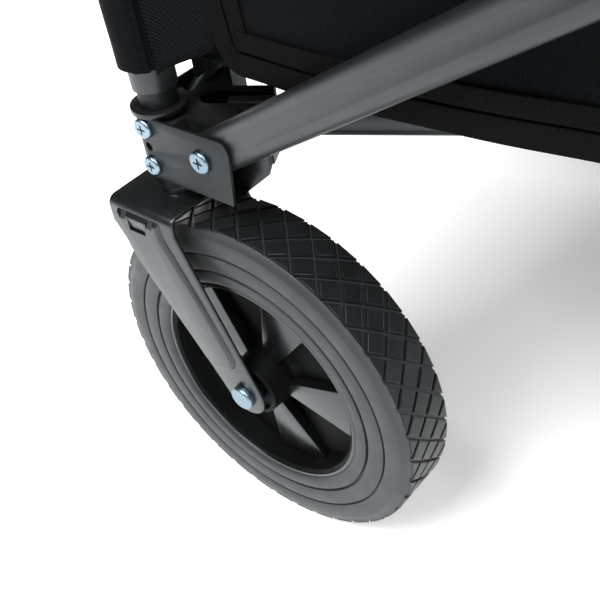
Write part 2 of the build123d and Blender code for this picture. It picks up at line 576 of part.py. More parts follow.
def make_handle():
    px, _, pz = HANDLE_AXIS
    front = -HALF_LENGTH + OUTER_LAYER[0]
    plate = Box(BASE_T, BASE_W, BASE_H).moved(Location((front - CHEEK_GAP - BASE_T / 2, 0, pz)))
    arm_len = front - CHEEK_GAP - px + LUG_NOSE
    for side in (-1, 1):
        y = side * (HANDLE_R + LUG_GAP + LUG_T / 2)
        plate += Box(arm_len, LUG_T, LUG_H).moved(Location((px - LUG_NOSE + arm_len / 2, y, pz)))
    plate = plate - cyl((px, -BASE_W, pz), (0, 1, 0), HANDLE_PIN_R + 0.1, 2 * BASE_W)
    plate -= cyl((front - 20, 0, pz), (1, 0, 0), RIVET_R + 0.1, 30)
    span = 2 * (HANDLE_R + LUG_GAP + LUG_T)
    pin = cyl((px, -span / 2, pz), (0, 1, 0), HANDLE_PIN_R, span)
    for y0 in (-span / 2 - HANDLE_PIN_HEAD_T, span / 2):
        pin += cyl((px, y0, pz), (0, 1, 0), HANDLE_PIN_HEAD_R, HANDLE_PIN_HEAD_T)
    # crossing rivet, which also carries the bracket
    x0 = front - CHEEK_GAP - BASE_T
    x1 = -HALF_LENGTH + INNER_LAYER[1]
    rivet = cyl((x0, 0, pz), (1, 0, 0), RIVET_R, x1 - x0)
    rivet += cyl((x0 - 1.6, 0, pz), (1, 0, 0), RIVET_HEAD_R, 1.6)
    rivet += cyl((x1, 0, pz), (1, 0, 0), RIVET_HEAD_R, RIVET_HEAD_T)
    put("handle_bracket", plate, pin, rivet)
    outer = cyl((px, 0, pz - HANDLE_TAIL), (0, 0, 1), HANDLE_R, HANDLE_LEN + HANDLE_TAIL)
    outer -= cyl((px, 0, pz + 20), (0, 0, 1), HANDLE_R - HANDLE_WALL, HANDLE_LEN)
    outer -= cyl((px, -20, pz), (0, 1, 0), HANDLE_PIN_R + 0.1, 40)
    base = pz + SLIDER_TOP - SLIDER_INSERT
    inner = cyl((px, 0, base), (0, 0, 1), SLIDER_R, SLIDER_INSERT + 12)
    inner -= cyl((px, 0, base), (0, 0, 1), SLIDER_R - SLIDER_WALL, SLIDER_INSERT + 10)
    top = pz + SLIDER_TOP
    ring = Box(2 * GRIP_R, GRIP_W, GRIP_H) - Box(40, GRIP_W - 4 * GRIP_R, GRIP_H - 4 * GRIP_R + 6)
    ring = ring.moved(Location((px, 0, top + GRIP_H / 2)))
    upright = [e for e in ring.edges().filter_by(Axis.X)
               if abs(e.center().Y) > GRIP_W / 2 - 1]
    ring = fillet(upright, GRIP_CORNER_R)
    ring += cyl((px, 0, top - 14), (0, 0, 1), SLIDER_R + 3.0, 18)
    ring -= cyl((px, 0, top - 20), (0, 0, 1), SLIDER_R + 0.1, 32.0)
    pivot = Axis((px, 0, pz), (0, 1, 0))
    put("handle_tube", outer.rotate(pivot, HANDLE_LEAN))
    put("handle_slider", inner.rotate(pivot, HANDLE_LEAN))
    put("handle_grip", ring.rotate(pivot, HANDLE_LEAN))


# ---- assembly ------------------------------------------------------------------------
def build():
    tyre, rim, fork = make_tyre(), make_rim(), make_fork()
    stem, bearing = make_stem()
    axle = make_axle()
    post, bracket, screws = make_lower_post(), make_bracket(), make_screws()
    for cut in screw_set(grow=0.1):
        post -= cut
    connectors = {layer: make_lower_connector(layer) for layer in (OUTER_LAYER, INNER_LAYER)}
    uppers = {layer: make_upper_corner(layer) for layer in (OUTER_LAYER, INNER_LAYER)}
    arm = make_arm()
    for key in CORNERS:
        put(f"tyre_{key}", to_post(tyre, key))
        put(f"rim_{key}", to_post(rim, key))
        put(f"fork_{key}", *[to_post(s, key) for s in (fork, stem, bearing)])
        put(f"axle_{key}", *[to_post(s, key) for s in axle])
        put(f"lower_post_{key}", to_corner(post, key))
        put(f"lower_connector_{key}", to_corner(connectors[layer_of(key)], key))
        put(f"bracket_{key}", to_corner(bracket, key))
        put(f"bracket_screws_{key}", *[to_corner(s, key) for s in screws])
        put(f"upper_corner_{key}", *[to_corner(s, key) for s in uppers[layer_of(key, lower=False)]])
        put(f"floor_arm_{key}", to_corner(arm, key))
    for side in ("left", "right"):
        side_tubes(side)
    for end in ("front", "rear"):
        end_tubes(end)
    hub, hub_pin = make_hub()
    put("floor_hub", hub, hub_pin)
    put("fabric_tub", make_tub())
    put("lift_strap", make_strap())
    make_handle()


build()
os.makedirs("parts", exist_ok=True)
# the origin goes under the middle of the whole wagon: its wheels trail rearward of the posts
TO_ORIGIN = Location((-TRAIL, 0, 0))
for name, solids in nodes.items():
    flat = [s.moved(TO_ORIGIN) for shape in solids for s in shape.solids()]
    shape = flat[0] if len(flat) == 1 else Compound(children=flat)
    export_step(shape, f"parts/{name}.step")
print(len(nodes), "nodes")
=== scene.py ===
"""Looks of a folding wagon with a pull handle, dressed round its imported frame."""
from __future__ import annotations

import json
import logging
import math
from contextlib import contextmanager
from dataclasses import dataclass, field
from enum import Enum
from typing import Callable, Iterator, Sequence

import bpy
from mathutils import Matrix, Vector

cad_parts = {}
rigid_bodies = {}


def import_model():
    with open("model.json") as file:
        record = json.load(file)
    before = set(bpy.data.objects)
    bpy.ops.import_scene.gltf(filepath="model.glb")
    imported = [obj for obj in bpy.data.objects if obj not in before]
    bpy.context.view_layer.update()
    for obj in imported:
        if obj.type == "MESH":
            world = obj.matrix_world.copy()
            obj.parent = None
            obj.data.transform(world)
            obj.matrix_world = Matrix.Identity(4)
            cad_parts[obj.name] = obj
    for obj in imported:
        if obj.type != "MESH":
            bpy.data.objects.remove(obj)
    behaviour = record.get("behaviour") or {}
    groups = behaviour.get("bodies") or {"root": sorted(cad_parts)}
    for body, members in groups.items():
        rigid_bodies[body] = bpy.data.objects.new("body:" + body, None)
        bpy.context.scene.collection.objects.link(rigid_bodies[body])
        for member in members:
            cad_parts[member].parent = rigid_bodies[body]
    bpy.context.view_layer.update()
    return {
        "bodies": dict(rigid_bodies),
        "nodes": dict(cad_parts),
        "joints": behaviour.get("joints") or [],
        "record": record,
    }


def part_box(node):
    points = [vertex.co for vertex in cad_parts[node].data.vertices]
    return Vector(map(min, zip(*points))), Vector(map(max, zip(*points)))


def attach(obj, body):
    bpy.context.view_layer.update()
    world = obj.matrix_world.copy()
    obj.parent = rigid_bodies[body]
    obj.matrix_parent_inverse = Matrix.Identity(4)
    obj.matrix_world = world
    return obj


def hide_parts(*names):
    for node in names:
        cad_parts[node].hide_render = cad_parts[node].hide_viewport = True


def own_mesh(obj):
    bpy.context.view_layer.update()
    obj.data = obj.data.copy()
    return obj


Piece = bpy.types.Object
Socket = bpy.types.NodeSocket

log = logging.getLogger("wagon")
MM = 0.001
CORNERS: dict[str, tuple[int, int]] = {"fl": (-1, -1), "fr": (-1, 1), "rl": (1, -1), "rr": (1, 1)}
UP = Vector((0, 0, 1))
AXES: dict[str, Vector] = {"x": Vector((1, 0, 0)), "y": Vector((0, 1, 0))}
MERGE = 0.01 * MM
GLOSS_TINT = (0.84, 0.95, 1.0, 1)


class Slot(Enum):
    """The record's material slots."""

    METAL = "frame_metal"
    ZINC = "zinc"
    PLASTIC = "black_plastic"
    TYRE = "tyre"
    RIM = "rim"
    CLOTH = "tub_fabric"
    WEBBING = "webbing"
    GRIP = "grip_plastic"


# ---- bench: selection, outlines, turning, copying --------------------------------------


def activate(obj: Piece) -> None:
    """Leaves obj as the only selected object, and the active one."""
    bpy.ops.object.select_all(action="DESELECT")
    obj.select_set(True)
    bpy.context.view_layer.objects.active = obj


@contextmanager
def editing(obj: Piece, mode: str = "VERT") -> Iterator[None]:
    """Edit mode on obj with all of it selected, and object mode again after.

    Args:
        obj: the mesh object.
        mode: VERT, EDGE or FACE.
    """
    activate(obj)
    bpy.ops.object.mode_set(mode="EDIT")
    bpy.ops.mesh.select_mode(type=mode)
    bpy.ops.mesh.select_all(action="SELECT")
    yield
    bpy.ops.object.mode_set(mode="OBJECT")


@contextmanager
def picking(obj: Piece, test: Callable[[Vector], bool]) -> Iterator[None]:
    """Edit mode on obj with the vertices that pass a test selected, and object mode after.

    Args:
        obj: the mesh object.
        test: whether the vertex at a place is selected.
    """
    with editing(obj):
        bpy.ops.mesh.select_all(action="DESELECT")
    for vertex in obj.data.vertices:
        vertex.select = test(vertex.co)
    bpy.ops.object.mode_set(mode="EDIT")
    yield
    bpy.ops.object.mode_set(mode="OBJECT")


def face_outwards() -> None:
    """In edit mode, turns every face outwards."""
    bpy.ops.mesh.select_all(action="SELECT")
    bpy.ops.mesh.normals_make_consistent(inside=False)


def cut_away(obj: Piece, cutter: Piece) -> None:
    """Takes a cutter's shape out of a solid."""
    apply_modifier(obj, "BOOLEAN", object=cutter, operation="DIFFERENCE", solver="EXACT")


def outline(name: str, points: Sequence[Vector], fill: bool = True) -> Piece:
    """A closed outline drawn point by point from one vertex.

    Args:
        name: the object's name.
        points: its corners in order.
        fill: whether the outline gets a face.

    Returns:
        The new mesh object.
    """
    bpy.ops.object.select_all(action="DESELECT")
    bpy.ops.mesh.primitive_plane_add(size=MM)
    obj = bpy.context.active_object
    obj.name = name
    bpy.ops.object.mode_set(mode="EDIT")
    bpy.ops.mesh.select_mode(type="VERT")
    bpy.ops.mesh.merge(type="CENTER")
    bpy.ops.transform.translate(value=points[0])
    for start, end in zip(points, points[1:]):
        bpy.ops.mesh.extrude_region_move(TRANSFORM_OT_translate={"value": end - start})
    bpy.ops.mesh.select_all(action="SELECT")
    bpy.ops.mesh.edge_face_add()
    if not fill:
        bpy.ops.mesh.delete(type="ONLY_FACE")
    bpy.ops.object.mode_set(mode="OBJECT")
    return obj


def make_solid(obj: Piece, along: Vector) -> None:
    """Pulls a flat outline into a closed solid along a vector."""
    with editing(obj, "FACE"):
        bpy.ops.mesh.extrude_region_move(TRANSFORM_OT_translate={"value": along})
        face_outwards()


def turn_round(name: str, points: Sequence[Vector], centre: Vector, axis: Vector,
               steps: int) -> Piece:
    """A closed outline turned right round an axis.

    Args:
        name: the object's name.
        points: the outline's corners in order.
        centre: a point on the axis.
        axis: the axis's direction.
        steps: divisions of the full turn.

    Returns:
        The turned solid.
    """
    obj = outline(name, points, fill=False)
    with editing(obj):
        bpy.ops.mesh.spin(steps=steps, angle=2 * math.pi, center=centre, axis=axis)
        bpy.ops.mesh.select_all(action="SELECT")
        bpy.ops.mesh.remove_doubles(threshold=MERGE)
        bpy.ops.mesh.normals_make_consistent(inside=False)
    return obj


def lathe(name: str, profile: Sequence[tuple[float, float]], centre: Vector,
          steps: int) -> Piece:
    """A closed profile of (radius, y) corners turned about an axis along Y."""
    points = [centre + Vector((0, y, r)) for r, y in profile]
    return turn_round(name, points, centre, AXES["y"], steps)


def apply_modifier(obj: Piece, kind: str, **values: object) -> None:
    """Adds a modifier with these values and applies it."""
    activate(obj)
    modifier = obj.modifiers.new(kind.title(), kind)
    for key, value in values.items():
        setattr(modifier, key, value)
    bpy.ops.object.modifier_apply(modifier=modifier.name)


def round_edges(obj: Piece, width: float, segments: int = 2,
                angle: float = 32.0) -> None:
    """Bevels the hard edges and shades the rest smooth.

    Args:
        obj: the mesh object.
        width: the bevel's width in metres.
        segments: its number of steps.
        angle: edges sharper than this, in degrees, are beveled.
    """
    apply_modifier(obj, "BEVEL", width=width, segments=segments, limit_method="ANGLE",
                   angle_limit=math.radians(angle), harden_normals=False)
    smooth(obj)


def smooth(obj: Piece, angle: float = 38.0) -> None:
    """Shades smooth, but for edges sharper than the angle in degrees."""
    activate(obj)
    bpy.ops.object.shade_smooth_by_angle(angle=math.radians(angle))


def join(name: str, parts: Sequence[Piece]) -> Piece:
    """Joins parts into the first and names it."""
    bpy.ops.object.select_all(action="DESELECT")
    for part in parts:
        part.select_set(True)
    bpy.context.view_layer.objects.active = parts[0]
    bpy.ops.object.join()
    parts[0].name = name
    parts[0].data.name = name
    return parts[0]


def copy_of(obj: Piece, name: str, matrix: Matrix) -> Piece:
    """A copy with its own mesh, moved or mirrored by a matrix.

    Args:
        obj: the piece to copy.
        name: the copy's name.
        matrix: where the copy's points go.

    Returns:
        The copy, its faces pointing outwards.
    """
    twin = obj.copy()
    twin.data = obj.data.copy()
    twin.name = name
    twin.data.name = name
    bpy.context.scene.collection.objects.link(twin)
    twin.data.transform(matrix)
    if matrix.determinant() < 0:
        twin.data.flip_normals()
    return twin


def settle(obj: Piece) -> None:
    """Puts the object at the origin with its place in its mesh."""
    activate(obj)
    bpy.ops.object.transform_apply(location=True, rotation=True, scale=True)


def grid_sheet(name: str, nu: int, nv: int,
               surface: Callable[[float, float], Vector]) -> Piece:
    """A grid laid over a surface, its UV map in metres along the two directions.

    Args:
        name: the object's name.
        nu: divisions along u.
        nv: divisions along v.
        surface: point of the sheet at (u, v), each from 0 to 1.

    Returns:
        The open sheet.
    """
    bpy.ops.object.select_all(action="DESELECT")
    bpy.ops.mesh.primitive_grid_add(x_subdivisions=nu, y_subdivisions=nv, size=1.0)
    obj = bpy.context.active_object
    obj.name = name
    mesh = obj.data
    flat = [(v.co.x + 0.5, v.co.y + 0.5) for v in mesh.vertices]
    for vertex, (u, v) in zip(mesh.vertices, flat):
        vertex.co = surface(u, v)
    width = (surface(1, 0.5) - surface(0, 0.5)).length
    height = (surface(0.5, 1) - surface(0.5, 0)).length
    uv = mesh.uv_layers.active.data
    for loop in mesh.loops:
        u, v = flat[loop.vertex_index]
        uv[loop.index].uv = (u * width, v * height)
    activate(obj)
    bpy.ops.object.shade_smooth()
    return obj


def ribbon(name: str, path: Sequence[Vector], across: Sequence[Vector], width: float,
           thick: float) -> Piece:
    """A flat tape along a path, its face square to the given directions.

    Args:
        name: the object's name.
        path: the points that its middle follows.
        across: at each point, the direction of its width.
        width: the tape's width in metres.
        thick: the tape's thickness in metres.

    Returns:
        The closed tape with softly rounded edges and a UV map in metres.
    """
    run = [0.0]
    for a, b in zip(path, path[1:]):
        run.append(run[-1] + (b - a).length)
    last = len(path) - 1

    def surface(u: float, v: float) -> Vector:
        place = min(int(round(u * last)), last)
        return path[place] + across[place] * (v - 0.5) * width

    tape = grid_sheet(name, last, 4, surface)
    straight = (path[last] - path[0]).length
    uv = tape.data.uv_layers.active.data
    for loop in tape.data.loops:
        u, v = uv[loop.index].uv
        uv[loop.index].uv = (run[min(int(round(u / straight * last)), last)], v)
    apply_modifier(tape, "SOLIDIFY", thickness=thick, offset=0.0)
    apply_modifier(tape, "BEVEL", width=thick * 0.35, segments=2, limit_method="ANGLE",
                   angle_limit=math.radians(50))
    smooth(tape, 60)
    return tape


def both_sides(side: Sequence[tuple[float, float]]) -> list[tuple[float, float]]:
    """A closed profile of (radius, y) corners from those of one side."""
    return [*side, *((r, -y) for r, y in reversed(side))]


def smooth_step(x: float, low: float, high: float) -> float:
    """0 below low, 1 above high, and a smooth rise between them."""
    t = min(max((x - low) / (high - low), 0.0), 1.0)
    return t * t * (3 - 2 * t)


# ---- finishes ---------------------------------------------------------------------------


class Graph:
    """A material's node graph, with short ways to add and link nodes."""

    def __init__(self, name: str) -> None:
        """Starts a material with its shader and output."""
        self.material = bpy.data.materials.new(name)
        self.material.use_nodes = True
        self.tree = self.material.node_tree
        self.shader = self.tree.nodes["Principled BSDF"]

    def add(self, kind: str, **inputs: object) -> bpy.types.Node:
        """A node of a kind, its properties and input sockets set by name."""
        node = self.tree.nodes.new(kind)
        for key, value in inputs.items():
            socket = node.inputs.get(key.replace("_", " "))
            if socket is not None:
                socket.default_value = value
            else:
                setattr(node, key, value)
        return node

    def link(self, start: Socket, end: Socket) -> None:
        """Joins two sockets."""
        self.tree.links.new(start, end)

    def coords(self, kind: str = "Object") -> Socket:
        """Object or UV coordinates."""
        return self.add("ShaderNodeTexCoord").outputs[kind]

    def noise(self, scale: float, detail: float = 3.0, kind: str = "Object") -> Socket:
        """Noise of a scale per metre."""
        node = self.add("ShaderNodeTexNoise", Scale=scale, Detail=detail)
        self.link(self.coords(kind), node.inputs["Vector"])
        return node.outputs["Fac"]

    def spread(self, value: Socket, low: float, high: float,
               start: float = 0.3, end: float = 0.7) -> Socket:
        """Maps start..end of a value to low..high."""
        node = self.add("ShaderNodeMapRange")
        self.link(value, node.inputs["Value"])
        for key, number in (("From Min", start), ("From Max", end), ("To Min", low),
                            ("To Max", high)):
            node.inputs[key].default_value = number
        return node.outputs["Result"]

    def tint(self, value: Socket, dark: Sequence[float],
             light: Sequence[float]) -> None:
        """Base colour between dark and light by a value from 0 to 1."""
        node = self.add("ShaderNodeMix", data_type="RGBA")
        self.link(value, node.inputs[0])
        node.inputs[6].default_value = (*dark, 1)
        node.inputs[7].default_value = (*light, 1)
        self.link(node.outputs[2], self.shader.inputs["Base Color"])

    def bump(self, height: Socket, strength: float, distance: float,
             under: Socket | None = None) -> Socket:
        """A bump of a height field, over another bump if there is one."""
        node = self.add("ShaderNodeBump", Strength=strength, Distance=distance)
        self.link(height, node.inputs["Height"])
        if under is not None:
            self.link(under, node.inputs["Normal"])
        self.link(node.outputs["Normal"], self.shader.inputs["Normal"])
        return node.outputs["Normal"]

    def wave(self, vector: Socket, axis: int, pitch: float) -> Socket:
        """A sine along one axis of a vector, from -1 to 1, with a pitch in metres."""
        parts = self.add("ShaderNodeSeparateXYZ")
        self.link(vector, parts.inputs[0])
        times = self.add("ShaderNodeMath", operation="MULTIPLY")
        self.link(parts.outputs[axis], times.inputs[0])
        times.inputs[1].default_value = 2 * math.pi / pitch
        sine = self.add("ShaderNodeMath", operation="SINE")
        self.link(times.outputs[0], sine.inputs[0])
        return sine.outputs[0]

    def product(self, a: Socket, b: Socket) -> Socket:
        """Two values multiplied."""
        node = self.add("ShaderNodeMath", operation="MULTIPLY")
        self.link(a, node.inputs[0])
        self.link(b, node.inputs[1])
        return node.outputs[0]


@dataclass(frozen=True)
class HardFinish:
    """Paint, plate or moulded plastic: a fine grain, faint mottling and uneven gloss."""

    name: str
    dark: tuple[float, float, float]
    light: tuple[float, float, float]
    rough: tuple[float, float]
    metallic: float = 0.0
    specular: float = 0.5
    grain_scale: float = 1600.0
    grain: float = 0.12
    ior: float = 1.5

    def material(self) -> bpy.types.Material:
        """Builds the material."""
        g = Graph(self.name)
        g.shader.inputs["Metallic"].default_value = self.metallic
        g.shader.inputs["Specular IOR Level"].default_value = self.specular
        g.shader.inputs["IOR"].default_value = self.ior
        if self.metallic == 0:
            g.shader.inputs["Specular Tint"].default_value = GLOSS_TINT
        mottle = g.noise(14.0, 5.0)
        g.tint(g.spread(mottle, 0.0, 1.0), self.dark, self.light)
        g.link(g.spread(g.noise(60.0, 6.0), *self.rough), g.shader.inputs["Roughness"])
        g.bump(g.noise(self.grain_scale, 2.0), self.grain, 0.15 * MM)
        return g.material


@dataclass(frozen=True)
class Rubber:
    """Foam rubber of a tyre: matte, faintly dusty, with fine turned lines on the walls."""

    name: str
    dark: tuple[float, float, float]
    light: tuple[float, float, float]
    rough: tuple[float, float]
    ring_pitch: float = 0.0

    def material(self) -> bpy.types.Material:
        """Builds the material."""
        g = Graph(self.name)
        g.shader.inputs["Specular IOR Level"].default_value = 0.42
        g.shader.inputs["Specular Tint"].default_value = GLOSS_TINT
        g.tint(g.spread(g.noise(40.0, 6.0), 0.0, 1.0), self.dark, self.light)
        g.link(g.spread(g.noise(120.0, 4.0), *self.rough), g.shader.inputs["Roughness"])
        under = g.bump(g.noise(2200.0, 3.0), 0.22, 0.2 * MM)
        if self.ring_pitch > 0:
            g.bump(g.wave(g.coords("UV"), 1, self.ring_pitch), 0.10, 0.1 * MM, under)
        return g.material


@dataclass(frozen=True)
class Cloth:
    """Woven cloth: crossing yarns at a pitch, a soft sheen and worn-in unevenness."""

    name: str
    dark: tuple[float, float, float]
    light: tuple[float, float, float]
    pitch: float
    relief: float = 0.6
    rough: tuple[float, float] = (0.55, 0.75)
    sheen: float = 0.003
    across: float = 1.0

    def material(self) -> bpy.types.Material:
        """Builds the material."""
        g = Graph(self.name)
        g.shader.inputs["Sheen Weight"].default_value = self.sheen
        g.shader.inputs["Sheen Roughness"].default_value = 0.4
        g.shader.inputs["Specular IOR Level"].default_value = 0.03
        uv = g.coords("UV")
        weave_relief_and_shade = g.product(g.wave(uv, 0, self.pitch), g.wave(uv, 1, self.pitch * self.across))
        # Colour follows the weave's relief: its low cells are painted darker, painted shade in the
        # hollows between the yarns.
        g.tint(g.spread(weave_relief_and_shade, 0.0, 1.0, -0.8, 0.9), self.dark, self.light)
        g.link(g.spread(g.noise(35.0, 5.0), *self.rough), g.shader.inputs["Roughness"])
        under = g.bump(g.noise(90.0, 4.0), 0.25, 1.2 * MM)
        g.bump(weave_relief_and_shade, self.relief, 0.25 * MM, under)
        return g.material


@dataclass(frozen=True)
class Finishes:
    """Every finish of the wagon, made once."""

    metal: HardFinish = HardFinish("black_powder_coat", (0.0065, 0.0072, 0.0080),
                                   (0.0085, 0.0093, 0.0102), (0.36, 0.44), specular=0.42, ior=1.62)
    press: HardFinish = HardFinish("black_pressed_steel", (0.0050, 0.0056, 0.0060),
                                   (0.0070, 0.0077, 0.0082), (0.25, 0.32), ior=1.62)
    zinc: HardFinish = HardFinish("bright_zinc_plate", (0.17, 0.24, 0.29), (0.30, 0.40, 0.46),
                                  (0.24, 0.40), metallic=1.0, grain_scale=900.0, grain=0.10)
    plate: HardFinish = HardFinish("satin_black_plate", (0.0042, 0.0047, 0.0052),
                                   (0.0060, 0.0067, 0.0073), (0.40, 0.50), specular=0.33)
    # Plain steel coloured darker than the zinc plate.
    steel: HardFinish = HardFinish("dark_bearing_steel", (0.10, 0.11, 0.12),
                                   (0.30, 0.32, 0.34), (0.16, 0.30), metallic=1.0,
                                   grain_scale=500.0, grain=0.3)
    plastic: HardFinish = HardFinish("moulded_black_nylon", (0.0040, 0.0042, 0.0045),
                                     (0.0065, 0.0067, 0.0070), (0.28, 0.38),
                                     grain_scale=1100.0, grain=0.18)
    rim: HardFinish = HardFinish("gloss_black_moulding", (0.0028, 0.0030, 0.0032),
                                 (0.0042, 0.0044, 0.0046), (0.20, 0.28), grain_scale=300.0,
                                 grain=0.04, ior=1.6)
    web: HardFinish = HardFinish("matt_black_moulding", (0.0016, 0.0017, 0.0018),
                                 (0.0026, 0.0027, 0.0028), (0.48, 0.60), specular=0.10,
                                 grain_scale=700.0, grain=0.15)
    grip: HardFinish = HardFinish("soft_touch_black", (0.006, 0.006, 0.0065),
                                  (0.009, 0.009, 0.0095), (0.50, 0.62), grain=0.3)
    wall: Rubber = Rubber("tyre_sidewall_rubber", (0.017, 0.0185, 0.020),
                          (0.024, 0.026, 0.028), (0.40, 0.52), ring_pitch=0.9 * MM)
    # The tread is coloured about three times darker than the sidewall: painted shade of the tread's
    # up-facing top.
    tread: Rubber = Rubber("tread_rubber_with_painted_shade", (0.0055, 0.0062, 0.0066),
                           (0.0085, 0.0094, 0.0100), (0.30, 0.42))
    # Each cloth's dark colour is painted shade in the weave's low cells; the netting's near-black
    # cells are painted shade standing for the tub's dark inside seen through its holes.
    canvas: Cloth = Cloth("black_coated_canvas", (0.0012, 0.0015, 0.0019),
                          (0.0055, 0.0066, 0.0080), 1.15 * MM)
    netting: Cloth = Cloth("black_netting", (0.0005, 0.0007, 0.0009), (0.0085, 0.0100, 0.0120),
                           1.9 * MM, relief=0.9)
    tape: Cloth = Cloth("ribbed_binding_tape", (0.0007, 0.0008, 0.0009),
                        (0.0068, 0.0074, 0.0080), 1.0 * MM, relief=1.0, across=2.2)
    thread: Cloth = Cloth("polyester_thread", (0.0012, 0.0012, 0.0014), (0.004, 0.004, 0.0045),
                          0.4 * MM)


class Dresser:
    """Gives each piece its material and body."""

    def __init__(self, frame: dict) -> None:
        """Makes the materials and reads which body holds each node."""
        self.frame = frame
        finishes = Finishes()
        self.materials = {key: getattr(finishes, key).material()
                          for key in Finishes.__dataclass_fields__}
        bodies = frame["record"]["behaviour"]["bodies"]
        self.body_of = {node: body for body, nodes in bodies.items() for node in nodes}

    def dress(self, obj: Piece, finish: str, slot: Slot, body: str,
              stands_for: Sequence[str] = ()) -> Piece:
        """Finishes a piece and sets it on its body.

        Args:
            obj: the piece.
            finish: a field name of Finishes.
            slot: the record's slot that it belongs to; not used.
            body: the body that it rides on.
            stands_for: CAD nodes that it replaces.

        Returns:
            The same piece.
        """
        settle(obj)
        obj.data.materials.clear()
        obj.data.materials.append(self.materials[finish])
        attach(obj, body)
        if stands_for:
            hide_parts(*stands_for)
        log.info("%s: %s on %s, %d faces", obj.name, finish, body, len(obj.data.polygons))
        return obj

    def refine(self, node: str, finish: str, slot: Slot, width: float = 0.5 * MM,
               angle: float = 32.0) -> Piece:
        """A copy of a CAD node's mesh with its edges rounded, standing for the node.

        Args:
            node: the CAD node.
            finish: a field name of Finishes.
            slot: the record's slot; not used.
            width: the edges' bevel in metres.
            angle: edges sharper than this, in degrees, are rounded.

        Returns:
            The rounded piece.
        """
        source = self.frame["nodes"][node]
        obj = copy_of(source, f"{node}_finished", Matrix.Identity(4))
        obj.parent = None
        obj.matrix_world = Matrix.Identity(4)
        with editing(obj):
            bpy.ops.mesh.remove_doubles(threshold=0.002 * MM)
            bpy.ops.mesh.dissolve_limited(angle_limit=math.radians(1.5))
        round_edges(obj, width, 2, angle)
        return self.dress(obj, finish, slot, self.body_of[node], [node])


@dataclass(frozen=True)
class Layout:
    """Places read from the frame: post axes, wheel centres and the tub's top."""

    posts: dict[str, Vector]
    wheels: dict[str, Vector]
    tub_top: float

    @staticmethod
    def read() -> "Layout":
        """Reads the boxes of the nodes that matter."""
        posts, wheels = {}, {}
        for key in CORNERS:
            low, high = map(Vector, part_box(f"lower_post_{key}"))
            middle = (low + high) / 2
            posts[key] = Vector((middle.x, middle.y, 0))
            low, high = map(Vector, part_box(f"tyre_{key}"))
            wheels[key] = (low + high) / 2
        return Layout(posts, wheels, Vector(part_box("fabric_tub")[1]).z)

    def corner(self, key: str) -> Matrix:
        """From corner axes (x and y inward from the post) to the frame's axes."""
        sx, sy = CORNERS[key]
        turn = Matrix.Diagonal((-sx, -sy, 1, 1))
        return Matrix.Translation(self.posts[key]) @ turn


# ---- wheels -----------------------------------------------------------------------------


